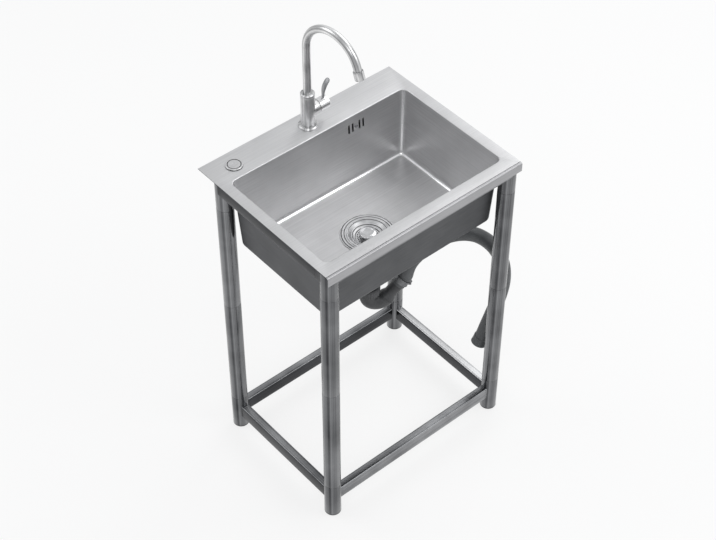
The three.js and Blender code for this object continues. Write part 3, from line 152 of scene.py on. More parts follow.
def finished(name, grids, finishes, kinds=None, sharp=32):
    """Joins grids of points (rows, columns, 3), in millimetres, into the mesh that stands for a
    CAD node. Grid faces point to the side where columns x rows turns; points that meet are merged,
    which closes seams and poles. A UV map holds each point's place round and along its grid, in
    metres. kinds gives the number of each face's finish, as rows and columns, for each grid."""
    points, faces, places, start = [], [], [], 0
    for grid in grids:
        height, width = grid.shape[:2]
        index = start + np.arange(height * width).reshape(height, width)
        faces.append(np.stack([index[:-1, :-1], index[:-1, 1:], index[1:, 1:], index[1:, :-1]], -1))
        points.append(grid.reshape(-1, 3) * MM)
        along = np.linalg.norm(np.diff(grid, axis=0), axis=2).max(1) * MM
        across = np.linalg.norm(np.diff(grid, axis=1), axis=2).max(0) * MM
        up, round_ = (np.concatenate([[0], np.cumsum(step)]) for step in (along, across))
        places.append(np.stack(np.meshgrid(round_, up), -1).reshape(-1, 2))
        start += height * width
    faces = np.concatenate([four.reshape(-1, 4) for four in faces])
    mesh = bpy.data.meshes.new(name + "_finished")
    mesh.from_pydata(np.concatenate(points).tolist(), [], faces.tolist())
    mesh.uv_layers.new(name="around_and_along")
    mesh.uv_layers[0].uv.foreach_set("vector", np.concatenate(places)[faces.ravel()].ravel())
    if kinds is not None:
        kinds = np.concatenate([np.ravel(kind) for kind in kinds]).astype(np.int32)
        mesh.polygons.foreach_set("material_index", kinds)
    work = bmesh.new()
    work.from_mesh(mesh)
    bmesh.ops.remove_doubles(work, verts=work.verts, dist=EVEN_MM * MM)
    bmesh.ops.dissolve_degenerate(work, edges=work.edges, dist=EVEN_MM * MM / 10)
    work.to_mesh(mesh)
    work.free()
    for finish in finishes:
        mesh.materials.append(finish)
    mesh.shade_smooth()
    mesh.set_sharp_from_angle(angle=math.radians(sharp))
    piece = bpy.data.objects.new(name + "_finished", mesh)
    bpy.context.scene.collection.objects.link(piece)
    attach(piece, frame["nodes"][name]["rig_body"])
    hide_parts(name)
    return piece


def pipe_grid(path, outer, inner, across, sides=48):
    """A tube wall along a path that lies in one plane, whose normal is across: circles of the
    outer radius one way, then of the inner radius back, closed at both ends. A radius is a number,
    or one for each point of the path."""
    ahead = np.gradient(path, axis=0)
    ahead /= np.linalg.norm(ahead, axis=1, keepdims=True)
    upward = np.cross(across, ahead)
    turn = np.linspace(0, 2 * math.pi, sides + 1)[None, :, None]
    spokes = np.cos(turn) * np.asarray(across, float) + np.sin(turn) * upward[:, None]
    outside, inside = (path[:, None] + spokes * np.broadcast_to(radius, len(path))[:, None, None]
                       for radius in (outer, inner))
    return np.concatenate([outside, inside[::-1], outside[:1]])


def through(points, per_span=8):
    """A centripetal Catmull-Rom curve: each span between two points blends the parabolas through
    its neighbours, timed by the square root of their distances. Ends carry on straight."""
    whole = np.vstack([2 * points[0] - points[1], points, 2 * points[-1] - points[-2]])
    p0, p1, p2, p3 = whole[:-3, None], whole[1:-2, None], whole[2:-1, None], whole[3:, None]
    d0, d1, d2 = (np.sqrt(np.linalg.norm(b - a, axis=2, keepdims=True))
                  for a, b in ((p0, p1), (p1, p2), (p2, p3)))
    lead = ((p1 - p0) / d0 - (p2 - p0) / (d0 + d1) + (p2 - p1) / d1) * d1
    trail = ((p2 - p1) / d1 - (p3 - p1) / (d1 + d2) + (p3 - p2) / d2) * d1
    t = np.linspace(0, 1, per_span + 1)[:-1][None, :, None]
    curve = ((2 * t**3 - 3 * t**2 + 1) * p1 + (t**3 - 2 * t**2 + t) * lead
             + (3 * t**2 - 2 * t**3) * p2 + (t**3 - t**2) * trail)
    return np.vstack([curve.reshape(-1, points.shape[1]), points[-1:]])


def in_trap_plane(points):
    """(distance from the drain's axis, height) pairs as points in the trap's upright plane."""
    reach, height = np.asarray(points, float).T
    return np.stack([reach * math.cos(TRAP_AIM), DRAIN_Y + reach * math.sin(TRAP_AIM), height], 1)


ACROSS_TRAP = np.array([math.sin(TRAP_AIM), -math.cos(TRAP_AIM), 0])
ARM_START = np.array([BEND_RADIUS * (1 + math.sin(TRAP_RISE)),
                      BEND_CENTRE_Z - BEND_RADIUS * math.cos(TRAP_RISE)])
ALONG_ARM = np.array([math.cos(TRAP_RISE), math.sin(TRAP_RISE)])
HOSE_START = ARM_LENGTH - HOSE_ON_ARM

# Extruded soft plastic is half matt: faint clouds in its grey, and scuffs that catch the light.
hose_plastic = moulded_finish("extruded_soft_grey_plastic", HOSE_DARK, HOSE_GREY, 0.44, 60, 5, 0.1)

onto_arm = ARM_START + np.outer([HOSE_START, ARM_LENGTH, ARM_LENGTH + 10], ALONG_ARM)
hose_line = in_trap_plane(through(np.vstack([onto_arm, HOSE_ROUTE + (0, BEND_CENTRE_Z)])))
hose = finished("drain_hose", [pipe_grid(hose_line, HOSE_RADIUS, HOSE_BORE, ACROSS_TRAP)], [hose_plastic])

# The end cuff is the same plastic, a snug sleeve whose mouth is rolled outwards.
CUFF_LENGTH = 22
reach_back = np.linspace(CUFF_LENGTH, -1.5, 24)
last = hose_line[-1] - hose_line[-2]
cuff_line = hose_line[-1] - np.outer(reach_back, last / np.linalg.norm(last))
mouth = np.clip(1 - (reach_back + 1.5) / CUFF_LENGTH, 0, 1)
cuff_round = np.minimum(1.4, np.sqrt(np.maximum(1.96 - (1.4 - np.minimum(
    reach_back + 1.5, CUFF_LENGTH - reach_back)).clip(0) ** 2, 0)))
cuff_outer = HOSE_RADIUS + 0.3 + cuff_round + 1.5 * mouth ** 3
cuff = finished("hose_end_cuff", [pipe_grid(cuff_line, cuff_outer, HOSE_BORE + 0.1, ACROSS_TRAP)],
                [hose_plastic])

# ---- Hose clamp ---------------------------------------------------------------------------------
# A worm-drive band of rolled stainless strip, dulled by handling. Its edges are curled up, and a
# pressed housing on the band holds the hexagon-headed screw that draws it tight.

CLAMP_MIDDLE = HOSE_START + 15
CLAMP_WIDTH = 14
CLAMP_BORE = 18.6
CLAMP_WALL = 1.4
CLAMP_HEAD = 9
CLAMP_HEAD_TALL = 7.2
CLAMP_STEEL, CLAMP_TARNISH = "#8D8E90", "#606163"


def softened(corners, radius, steps=4, closed=False):
    """Rounds the corners of a line of (across, up) pairs. Each becomes an arc that touches both of
    its edges: its centre lies on the corner's bisector, radius / sin(half angle) away."""
    point = np.asarray(corners, float)
    size = np.broadcast_to(np.asarray(radius, float), len(point)).copy()
    back, on = np.roll(point, 1, 0) - point, np.roll(point, -1, 0) - point
    if not closed:
        size[[0, -1]] = 0
        back[0], on[-1] = -on[0], -back[-1]
    back, on = (way / np.maximum(np.linalg.norm(way, axis=1, keepdims=True), 1e-9) for way in (back, on))
    half = np.arccos(np.clip((back * on).sum(1), -1, 1)) / 2
    half = np.clip(half, 1e-3, math.pi / 2 - 1e-4)
    reach = (size / np.tan(half))[:, None]
    start, end = point + back * reach, point + on * reach
    bisector = back + on
    bisector /= np.maximum(np.linalg.norm(bisector, axis=1, keepdims=True), 1e-9)
    centre = point + bisector * (size / np.sin(half))[:, None]
    turn = (math.pi - 2 * half)[:, None, None]
    share = np.linspace(0, 1, steps + 1)[None, :, None]
    arc = (np.sin((1 - share) * turn) * (start - centre)[:, None]
           + np.sin(share * turn) * (end - centre)[:, None]) / np.sin(turn) + centre[:, None]
    line = np.where(size[:, None, None] > 0, arc, point[:, None]).reshape(-1, 2)
    return np.vstack([line, line[:1]]) if closed else line


def turned(profile, sides=72, ripple=None):
    """Carries a line of (radius, height) pairs round the Z axis. ripple, if given, changes the
    radius: it is called with the grid's radii, heights and angles."""
    radius, height = np.asarray(profile, float).T
    turn = np.linspace(0, 2 * math.pi, sides + 1)[None]
    radius, height = radius[:, None] + 0 * turn, height[:, None] + 0 * turn
    if ripple is not None:
        radius = radius + ripple(radius, height, turn)
    return np.stack([radius * np.cos(turn), radius * np.sin(turn), height], -1)


def carried(grid, move=(0, 0, 0), *turns):
    """Turns a grid of points by (degrees, axis) pairs in order, then moves it."""
    for degrees, axis in turns:
        grid = grid @ np.array(Matrix.Rotation(math.radians(degrees), 3, axis)).T
    return grid + np.asarray(move, float)


def on_arm(grid):
    """From upright, with its zero height at the arm's start, into the trap arm's line."""
    start = in_trap_plane([ARM_START])[0]
    return carried(grid, start, (90 - math.degrees(TRAP_RISE), "Y"), (math.degrees(TRAP_AIM), "Z"))


def steel_finish(name, dark, light, gloss, line_mm, run_mm, cloud_mm, run="v", depth_mm=0.02):
    """Steel rubbed or drawn one way: lines line_mm apart and run_mm long under slow clouds of wear,
    between two shades, with a gloss that follows the lines. run says which way the lines go on the
    piece's UV map, u round it or v along it, or h for level lines in space."""
    finish = bpy.data.materials.new(name)
    source = node(finish, "TexCoord")
    fine, long = 1 / (line_mm * MM), 1 / (run_mm * MM)
    scale = {"u": (long, fine, fine), "v": (fine, long, fine), "h": (long, long, fine)}[run]
    stretched = node(finish, "Mapping", Vector=source.outputs["Object" if run == "h" else "UV"], Scale=scale)
    lines = node(finish, "TexNoise", Vector=stretched, Scale=1.0, Detail=4.0)
    cloud = node(finish, "TexNoise", Vector=source.outputs["Object"], Scale=1 / (cloud_mm * MM), Detail=3.0)
    both = node(finish, "Mix", i0=0.35, i2=lines, i3=cloud)
    share = node(finish, "MapRange", Value=both, From_Min=0.34, From_Max=0.66)
    shade = node(finish, "Mix", {"data_type": "RGBA"}, i0=share, i6=linear(dark), i7=linear(light)).outputs[2]
    matt = node(finish, "MapRange", Value=lines, From_Min=0.3, From_Max=0.7,
                To_Min=gloss - 0.06, To_Max=gloss + 0.06)
    relief = node(finish, "Bump", Height=lines, Distance=depth_mm * MM)
    node(finish, "BsdfPrincipled", Base_Color=shade, Roughness=matt, Normal=relief, Metallic=1.0)
    return finish


clamp_steel = steel_finish("rolled_clamp_strip_steel", CLAMP_TARNISH, CLAMP_STEEL, 0.42, 0.8, 6, 5, "u")

low, high = CLAMP_MIDDLE - CLAMP_WIDTH / 2, CLAMP_MIDDLE + CLAMP_WIDTH / 2
band = softened([
    (CLAMP_BORE, low), (CLAMP_BORE + CLAMP_WALL, low), (CLAMP_BORE + CLAMP_WALL, low + 2),
    (CLAMP_BORE + CLAMP_WALL * 0.5, low + 3), (CLAMP_BORE + CLAMP_WALL * 0.5, high - 3),
    (CLAMP_BORE + CLAMP_WALL, high - 2), (CLAMP_BORE + CLAMP_WALL, high), (CLAMP_BORE, high)],
    0.35, closed=True)


def box_grid(x0, x1, y0, y1, z0, z1, round_mm, steps=4):
    """A block with rounded edges: rings round the Z axis of a rectangle with round corners, drawn
    in by a quarter circle at both ends, with flat ends."""
    turn = np.linspace(0, math.pi / 2, steps + 1)
    inset = np.concatenate([round_mm * (1 - np.sin(turn)), round_mm * (1 - np.cos(turn))])
    height = np.concatenate([z0 + round_mm * (1 - np.cos(turn)), z1 - round_mm * (1 - np.sin(turn))])
    corner = np.array([(1, 1), (-1, 1), (-1, -1), (1, -1)])
    angle = (np.arange(4)[:, None] * math.pi / 2 + turn[None]).reshape(-1)
    sign = np.repeat(corner, steps + 1, axis=0)
    half = np.array([(x1 - x0) / 2, (y1 - y0) / 2])
    core = sign * (half - round_mm)
    spoke = np.stack([np.cos(angle), np.sin(angle)], 1)
    flat = core[None] + spoke[None] * (round_mm - inset)[:, None, None]
    middle = np.array([(x0 + x1) / 2, (y0 + y1) / 2])
    ends = np.zeros((1, len(core), 2))
    flat = np.concatenate([ends, flat, ends]) + middle
    height = np.concatenate([[z0], height, [z1]])
    grid = np.concatenate([flat, np.broadcast_to(height[:, None, None], (*flat.shape[:2], 1))], -1)
    return np.concatenate([grid, grid[:, :1]], 1)


outside = CLAMP_BORE + CLAMP_WALL
housing = box_grid(CLAMP_BORE + 0.5, outside + CLAMP_HEAD_TALL, -CLAMP_HEAD / 2, CLAMP_HEAD / 2,
                   low + 0.5, high - 0.5, 1.8)
finished("hose_clamp", [on_arm(turned(band)), on_arm(housing)], [clamp_steel])


def hexagon(radius, height, turn):
    """How far a six-sided flat lies inside its corners' circle at an angle."""
    off = np.mod(turn, math.pi / 3) - math.pi / 6
    return radius * (math.cos(math.pi / 6) / np.cos(off) - 1)


screw = turned(softened([(0, -8.5), (2.6, -8.5), (2.6, 8.5), (0, 8.5)], 0.5), 24)
screw_head = turned(softened([(0, 4.8), (4.2, 4.8), (4.2, 8.5), (0, 8.5)], 0.5), 36, hexagon)
screw_place = (outside + CLAMP_HEAD_TALL / 2, 0, CLAMP_MIDDLE)
finished("hose_clamp_screw", [on_arm(carried(part, screw_place, (-90, "X"))) for part in (screw, screw_head)],
         [clamp_steel])

# ---- Sink ---------------------------------------------------------------------------------------
# Deck and bowl are one sheet of 1.5 mm stainless steel, satin brushed on top and left dull from
# the mill underneath. The walls, floor, apron and underside are coloured darker than the deck as
# painted shade, and the fillets and upright corners brighter as a painted highlight. The bowl's
# walls lean in a little, its floor falls to the drain along four faint creases, and the front edge
# is folded down to an apron.

RIM_HEIGHT = 813
HALF_WIDTH, HALF_DEPTH = 275, 221
SHEET = 1.5
APRON_HEIGHT = 24
APRON_BEND = 5.5
SEAM_BACK = 7           # the apron's fold starts this far behind the front edge
BOWL_HALF_X, BOWL_FRONT, BOWL_BACK = 248.5, -183.5, 140
BOWL_DEPTH = 186
BOWL_TAPER = 10
BOWL_CORNER = 16
FLOOR_FILLET = 14
LIP = 2.2               # the opening's rolled edge
FALL = 2.0              # the floor's fall from the walls to the drain
DRAIN_HOLE = 47.6
SATIN_LIGHT, SATIN_DARK = "#E2E2E3", "#D2D2D3"
# Walls, floor and apron: the deck's satin made darker, as painted shade.
WALL_LIGHT, WALL_DARK = "#DFDFE0", "#CBCBCC"
FLOOR_LIGHT, FLOOR_DARK = "#D2D2D3", "#BEBEBF"
APRON_LIGHT, APRON_DARK = "#B4B4B6", "#A2A2A4"
MILL_LIGHT, MILL_DARK = "#6A6B6D", "#515254"
FLOOR_Z = RIM_HEIGHT - BOWL_DEPTH
BOWL_MIDDLE_Y = (BOWL_FRONT + BOWL_BACK) / 2
BOWL_HALF_Y = (BOWL_BACK - BOWL_FRONT) / 2


def rectangle_ring(half_x, half_y, corner, middle_y, z, side=24, arc=10):
    """Points round a rectangle with round corners: four arcs, each followed by a straight side."""
    turn = np.linspace(0, math.pi / 2, arc + 1)
    sign = np.array([(1, 1), (-1, 1), (-1, -1), (1, -1)])[:, None]
    angle = (np.arange(4)[:, None] * math.pi / 2 + turn)[..., None]
    spoke = np.concatenate([np.cos(angle), np.sin(angle)], -1)
    arcs = sign * (np.array([half_x, half_y]) - corner) + spoke * corner
    share = np.linspace(0, 1, side + 1)[1:-1][None, :, None]
    sides = arcs[:, -1:] * (1 - share) + np.roll(arcs, -1, 0)[:, :1] * share
    ring = np.concatenate([arcs, sides], 1).reshape(-1, 2) + (0, middle_y)
    ring = np.vstack([ring, ring[:1]])
    return np.column_stack([ring, np.full(len(ring), float(z))])


def bowl_rows(grow):
    """The sheet's face as rings from the deck's edge to the drain hole; grow is 0 for the upper
    face and the sheet's thickness for the lower one."""
    rows = [rectangle_ring(HALF_WIDTH, HALF_DEPTH - SEAM_BACK / 2, 0.4, SEAM_BACK / 2, RIM_HEIGHT - grow)]
    lip = LIP if grow == 0 else 0.7
    for angle in np.linspace(math.pi / 2, 0, 6):
        out = grow + lip * (1 - math.cos(angle))
        rows.append(rectangle_ring(BOWL_HALF_X + out, BOWL_HALF_Y + out, BOWL_CORNER + out,
                                   BOWL_MIDDLE_Y, RIM_HEIGHT - grow - lip * (1 - math.sin(angle))))
    fillet = FLOOR_FILLET + grow
    floor = FLOOR_Z + FALL - grow
    top = RIM_HEIGHT - grow - lip
    for z in np.linspace(top, floor + fillet, 12)[1:-1]:
        out = grow - BOWL_TAPER * (RIM_HEIGHT - z) / BOWL_DEPTH
        rows.append(rectangle_ring(BOWL_HALF_X + out, BOWL_HALF_Y + out, BOWL_CORNER + grow,
                                   BOWL_MIDDLE_Y, z))
    for angle in np.linspace(0, math.pi / 2, 10):
        round_in = fillet * (1 - math.cos(angle))
        z = floor + fillet * (1 - math.sin(angle))
        out = grow - BOWL_TAPER * (RIM_HEIGHT - floor - fillet) / BOWL_DEPTH - round_in
        corner = max(BOWL_CORNER + grow - round_in, 1.2)
        rows.append(rectangle_ring(BOWL_HALF_X + out, BOWL_HALF_Y + out, corner, BOWL_MIDDLE_Y, z))
    edge = rows[-1]
    spoke = edge[:, :2] - (0, DRAIN_Y)
    spoke = spoke / np.linalg.norm(spoke, axis=1, keepdims=True)
    dish = np.column_stack([spoke * 66 + (0, DRAIN_Y), np.full(len(edge), FLOOR_Z - grow)])
    rows += [edge + (dish - edge) * share for share in np.linspace(0, 1, 14)[1:]]
    rows.append(np.column_stack([spoke * DRAIN_HOLE + (0, DRAIN_Y), np.full(len(edge), FLOOR_Z - grow)]))
    return rows


def bare(name, grids, kinds=None):
    """An object of closed grids and nothing else, to be joined to a piece or cut out of it."""
    work = bmesh.new()
    for number, grid in enumerate(grids):
        rows, columns = grid.shape[:2]
        corner = [work.verts.new(point) for point in (grid.reshape(-1, 3) * MM).tolist()]
        index = np.arange(rows * columns).reshape(rows, columns)
        four = np.stack([index[:-1, :-1], index[:-1, 1:], index[1:, 1:], index[1:, :-1]], -1).reshape(-1, 4)
        kind = np.zeros(len(four), int) if kinds is None else np.ravel(kinds[number])
        for quad, which in zip(four.tolist(), kind.tolist()):
            work.faces.new([corner[at] for at in quad]).material_index = which
    bmesh.ops.remove_doubles(work, verts=work.verts, dist=EVEN_MM * MM)
    bmesh.ops.dissolve_degenerate(work, edges=work.edges, dist=EVEN_MM * MM / 10)
    mesh = bpy.data.meshes.new(name)
    work.to_mesh(mesh)
    work.free()
    shape = bpy.data.objects.new(name, mesh)
    bpy.context.scene.collection.objects.link(shape)
    return shape


def shaped_by(piece, other, operation, sharp=32):
    """Joins another object to a piece (UNION) or cuts it out (DIFFERENCE) at once, then removes it."""
    change = piece.modifiers.new("boolean", "BOOLEAN")
    change.operation, change.object, change.solver = operation, other, "EXACT"
    graph = bpy.context.evaluated_depsgraph_get()
    shaped = bpy.data.meshes.new_from_object(piece.evaluated_get(graph), depsgraph=graph)
    piece.modifiers.clear()
    piece.data = shaped
    bpy.data.objects.remove(other)
    shaped.shade_smooth()
    shaped.set_sharp_from_angle(angle=math.radians(sharp))


# The underside keeps the dull grey of the rolling mill, with faint level marks, and is painted darker still
# as shade under the deck.
mill_and_shade_steel = steel_finish("dull_mill_sheet_in_painted_shade", MILL_DARK, MILL_LIGHT, 0.5, 2.5, 60, 90, "h")



def satin_finish(name, dark, light):
    """Satin brushed sheet. Its lines lie 0.3 mm apart, and are drawn 1.6 mm apart so that they
    show: along X on what lies flat and level on the walls, as the sheet was brushed before
    pressing. They lie under slow clouds, between two shades, and the gloss follows the lines."""
    finish = bpy.data.materials.new(name)
    place = node(finish, "TexCoord").outputs["Object"]
    line, run = 1 / (1.6 * MM), 1 / (140 * MM)
    flat_place = node(finish, "Mapping", Vector=place, Scale=(run, line, run))
    wall_place = node(finish, "Mapping", Vector=place, Scale=(run, run, line))
    flat_lines = node(finish, "TexNoise", Vector=flat_place, Scale=1.0, Detail=4.0)
    wall_lines = node(finish, "TexNoise", Vector=wall_place, Scale=1.0, Detail=4.0)
    facing = node(finish, "NewGeometry").outputs["True Normal"]
    upright = node(finish, "SeparateXYZ", Vector=facing).outputs[2]
    level = node(finish, "MapRange", Value=upright, From_Min=0.4, From_Max=0.8)
    lines = node(finish, "Mix", i0=level, i2=wall_lines, i3=flat_lines)
    cloud = node(finish, "TexNoise", Vector=place, Scale=1 / (70 * MM), Detail=3.0)
    both = node(finish, "Mix", i0=0.35, i2=lines, i3=cloud)
    share = node(finish, "MapRange", Value=both, From_Min=0.34, From_Max=0.66)
    shade = node(finish, "Mix", {"data_type": "RGBA"}, i0=share, i6=linear(dark), i7=linear(light)).outputs[2]
    matt = node(finish, "MapRange", Value=lines, From_Min=0.3, From_Max=0.7, To_Min=0.36, To_Max=0.48)
    relief = node(finish, "Bump", Height=lines, Distance=0.02 * MM)
    node(finish, "BsdfPrincipled", Base_Color=shade, Roughness=matt, Normal=relief, Metallic=1.0)
    return finish


deck_steel = satin_finish("satin_brushed_deck_steel", SATIN_DARK, SATIN_LIGHT)
# The walls, floor and apron are darker copies of the deck's satin: painted shade.
walls_painted_shade = satin_finish("satin_walls_in_painted_shade", WALL_DARK, WALL_LIGHT)
bowl_floor_painted_shade = satin_finish("satin_bowl_floor_in_painted_shade", FLOOR_DARK, FLOOR_LIGHT)
apron_painted_shade = satin_finish("satin_apron_in_painted_shade", APRON_DARK, APRON_LIGHT)

# Where the walls turn into each other and into the floor the sheet was ground and polished, with short
# level marks; it is coloured brighter than the walls as a painted highlight along these turns.
polished_highlight_steel = steel_finish("ground_and_polished_fold_with_painted_highlight", "#E0E0E1", "#F4F4F5", 0.22, 1.2, 30, 20,
                              "h", 0.01)

upper, lower = bowl_rows(0), bowl_rows(SHEET)
sink_rows = np.array(upper + lower[::-1] + upper[:1])
DECK, MILL_AND_SHADE, POLISHED_HIGHLIGHT, WALL, BOTTOM, APRON = range(6)
# The walls, floor, apron and underside take darker finishes as painted shade; the floor fillet and the bowl's
# upright corners a brighter one as a painted highlight.
sink_kinds = np.full((len(sink_rows) - 1, sink_rows.shape[1] - 1), MILL_AND_SHADE)
sink_kinds[:6] = DECK
sink_kinds[6:22] = WALL
sink_kinds[21:23] = POLISHED_HIGHLIGHT
sink_kinds[23:len(upper) - 1] = BOTTOM
corner_columns = np.abs(np.arange(sink_rows.shape[1] - 1) % 34 - 4.5) < 1
sink_kinds[6:20, corner_columns] = POLISHED_HIGHLIGHT

# A groove is scored across the sheet just behind the fold, and shows as a thin dark line.
bend_z = RIM_HEIGHT - APRON_BEND
bend_y = -HALF_DEPTH + APRON_BEND
turn = np.linspace(math.pi / 2, math.pi, 9)
seam = -HALF_DEPTH + SEAM_BACK
outer_line = np.vstack([
    [(seam + 0.4, RIM_HEIGHT - 0.8), (seam - 1.2, RIM_HEIGHT - 0.8), (bend_y + 0.01, RIM_HEIGHT)],
    np.stack([bend_y + APRON_BEND * np.cos(turn), bend_z + APRON_BEND * np.sin(turn)], 1),
    [(-HALF_DEPTH, RIM_HEIGHT - APRON_HEIGHT + 0.5), (-HALF_DEPTH + 0.5, RIM_HEIGHT - APRON_HEIGHT)]])
inner_line = np.vstack([
    [(seam + 0.4, RIM_HEIGHT - SHEET)] * 3,
    np.stack([bend_y + (APRON_BEND - SHEET) * np.cos(turn), bend_z + (APRON_BEND - SHEET) * np.sin(turn)], 1),
    [(-HALF_DEPTH + SHEET, RIM_HEIGHT - APRON_HEIGHT)] * 2])
fold = np.vstack([outer_line, inner_line[::-1], outer_line[:1]])[::-1]
fold_grid = np.stack([np.column_stack([np.full(len(fold), x), fold]) for x in (-HALF_WIDTH, HALF_WIDTH)])
fold_kinds = np.full((1, len(fold) - 1), MILL_AND_SHADE)
fold_kinds[0, -len(outer_line) + 1:] = APRON
end_caps = [np.stack([np.column_stack([np.full(len(line), x), line]) for line in pair])
            for x, pair in ((-HALF_WIDTH, (outer_line, inner_line)), (HALF_WIDTH, (inner_line, outer_line)))]

sink = finished("sink_basin", [sink_rows],
                [deck_steel, mill_and_shade_steel, polished_highlight_steel, walls_painted_shade, bowl_floor_painted_shade, apron_painted_shade], [sink_kinds])

# Four upright overflow slots are punched through the rear wall, with a screw hole between them.
SLOT_X = BOWL_HALF_X - 143.5
SLOT_TOP = RIM_HEIGHT - 22
slot_grids = [box_grid(SLOT_X + off - 2.5, SLOT_X + off + 2.5, SLOT_TOP - 24, SLOT_TOP, -16, 16, 1.0)
              for off in (-21, -10, 10, 21)]
slots = bare("slots", [carried(grid[:, :, [0, 2, 1]][:, ::-1], (0, BOWL_BACK, 0)) for grid in slot_grids])
shaped_by(sink, slots, "DIFFERENCE")

end_kinds = [np.full((1, len(outer_line) - 1), MILL_AND_SHADE)] * 2
shaped_by(sink, bare("apron", [fold_grid, *end_caps], [fold_kinds, *end_kinds]), "UNION")

# ---- Blanking cap -------------------------------------------------------------------------------
# A spun steel cap closes the spare hole in the deck, with a groove round its raised middle; the groove
# and the cap's outer edge are painted dark as shade. A stud and a plastic nut hold it from below.

TAP_Y = 179.6
CAP_X = 67.4 - HALF_WIDTH
CAP_RADIUS = 20
CAP_THICK = 2.6
NUT_RADIUS = 14.3
PLASTIC_GREY, PLASTIC_DARK = "#47484A", "#343537"

cap_top = RIM_HEIGHT + 0.3 + CAP_THICK
spun_steel = steel_finish("spun_cap_steel", "#CFCFD0", "#E6E6E7", 0.34, 0.9, 30, 20, "u")
cap_line = softened([
    (0, RIM_HEIGHT - 23.7), (4, RIM_HEIGHT - 23.7), (4, RIM_HEIGHT + 0.3), (CAP_RADIUS, RIM_HEIGHT + 0.3),
    (CAP_RADIUS, cap_top - 0.9), (CAP_RADIUS - 0.9, cap_top), (16, cap_top), (15.7, cap_top - 1.4),
    (14.5, cap_top - 1.4), (14.1, cap_top), (5, cap_top), (4.4, cap_top - 0.5), (0, cap_top - 0.6)],
    [0, 0.5, 0.2, 0.2, 0.4, 0.4, 0.3, 0.2, 0.2, 0.5, 0.3, 0.3, 0])
# Painted shade darkens the grooves and edges of turned parts. softened() gives a corner five points, so the
# faces that follow corner i of a section start at row 5 i + 4.
groove_painted_shade = moulded_finish("painted_shade_in_a_turned_groove", "#2E2E2F", "#474748", 0.6, 8, 1, 0.02)
# Painted shade on the cap's outer edge and in its groove.
cap_kinds = np.zeros((len(cap_line) - 1, 72), int)
cap_kinds[17:22] = cap_kinds[32:46] = 1
finished("blanking_cap", [carried(turned(cap_line), (CAP_X, TAP_Y, 0))], [spun_steel, groove_painted_shade],
         [cap_kinds])

# Dark grey polypropylene comes from its mould half glossy, with a fine spark-eroded grain.
moulded = moulded_finish("moulded_dark_grey_polypropylene", PLASTIC_DARK, PLASTIC_GREY, 0.45, 35, 1.8, 0.05)


def nut_line(bore, outside, bottom, top, edge=0.8):
    """A nut's section as a closed line: bore, underside, rounded outside, top."""
    return softened([(bore, bottom), (outside, bottom), (outside, top), (bore, top)],
                    [0.2, edge, edge, 0.2], closed=True)


cap_nut_line = nut_line(4.4, NUT_RADIUS, RIM_HEIGHT - 7.8, RIM_HEIGHT - 1.8)
finished("blanking_cap_nut", [carried(turned(cap_nut_line, 72, hexagon), (CAP_X, TAP_Y, 0))], [moulded])

# ---- Overflow -----------------------------------------------------------------------------------
# A moulded box behind the slots collects overflowing water, and a bent plastic pipe leads it to
# the strainer's side. One pan-headed screw between the slots draws the box to the wall.

SCREW_Z = SLOT_TOP - 12
SCREW_Y = BOWL_BACK - BOWL_TAPER * (RIM_HEIGHT - SCREW_Z) / BOWL_DEPTH

bright_steel = steel_finish("polished_screw_steel", "#8A8B8D", "#B5B6B8", 0.22, 0.6, 4, 6, "u")
screw_line = softened([(0, -13), (2, -13), (2, 0), (4, 0), (3.7, 1.1), (2.2, 1.7), (0, 1.8)],
                      [0, 0.4, 0.1, 0.2, 0.5, 0.6, 0])
finished("overflow_screw", [carried(turned(screw_line, 32), (SLOT_X, SCREW_Y - 0.6, SCREW_Z), (90, "X"))],
         [bright_steel])

# The box keeps its solid's shape.
box_mesh = frame["nodes"]["overflow_box"].data
box_mesh.materials.clear()
box_mesh.materials.append(moulded)

# The pipe keeps the route of its solid: down from the box, round an elbow, level to the strainer.
BOX_BOTTOM = 760.6   # 20 mm of sump and 0.3 mm of gap under the top rails' underside
SUMP_Y = BOWL_BACK + SHEET - BOWL_TAPER * (RIM_HEIGHT - BOX_BOTTOM) / BOWL_DEPTH + 12
STUB_Z = FLOOR_Z - 32
STUB_AIM = math.atan2(SUMP_Y - DRAIN_Y, SLOT_X)
STUB_END = 47 + 10 + 16
far = math.hypot(SLOT_X, SUMP_Y - DRAIN_Y)
start = BOX_BOTTOM - 0.3
drop_end = STUB_Z + 45
overflow_route = np.array([
    (far, start), (far, start - 16), (far, (start + drop_end) / 2), (far, drop_end),
    (far - 13, STUB_Z + 13), (far - 45, STUB_Z), (STUB_END + 15, STUB_Z), (STUB_END, STUB_Z),
    (STUB_END - 15, STUB_Z)])
reach, height = through(overflow_route).T
overflow_line = np.stack([reach * math.cos(STUB_AIM), DRAIN_Y + reach * math.sin(STUB_AIM), height], 1)
across_pipe = (math.sin(STUB_AIM), -math.cos(STUB_AIM), 0)
finished("overflow_pipe", [pipe_grid(overflow_line, 9.3, 7.7, across_pipe, 32)], [moulded])

# ---- Strainer, basket and knob ------------------------------------------------------------------
# The strainer is a deep-drawn cup whose wide flange lies on the bowl's floor, spun bright with
# rings round it. The lift-out basket seats on the flange, and a polished mushroom knob lifts it.

FLANGE_RADIUS = 64.5
CUP_RADIUS = 47
CUP_BOTTOM = FLOOR_Z - 60
FLANGE_TOP = FLOOR_Z + 1.9
OUTLET_RADIUS = 19.5

# Spun steel carries fine rings from the lathe, between bright and mid grey.
drain_steel = steel_finish("spun_and_polished_drain_steel", "#A4A5A7", "#EDEDEE", 0.38, 1.6, 2000, 25,
                           "u", 0.01)

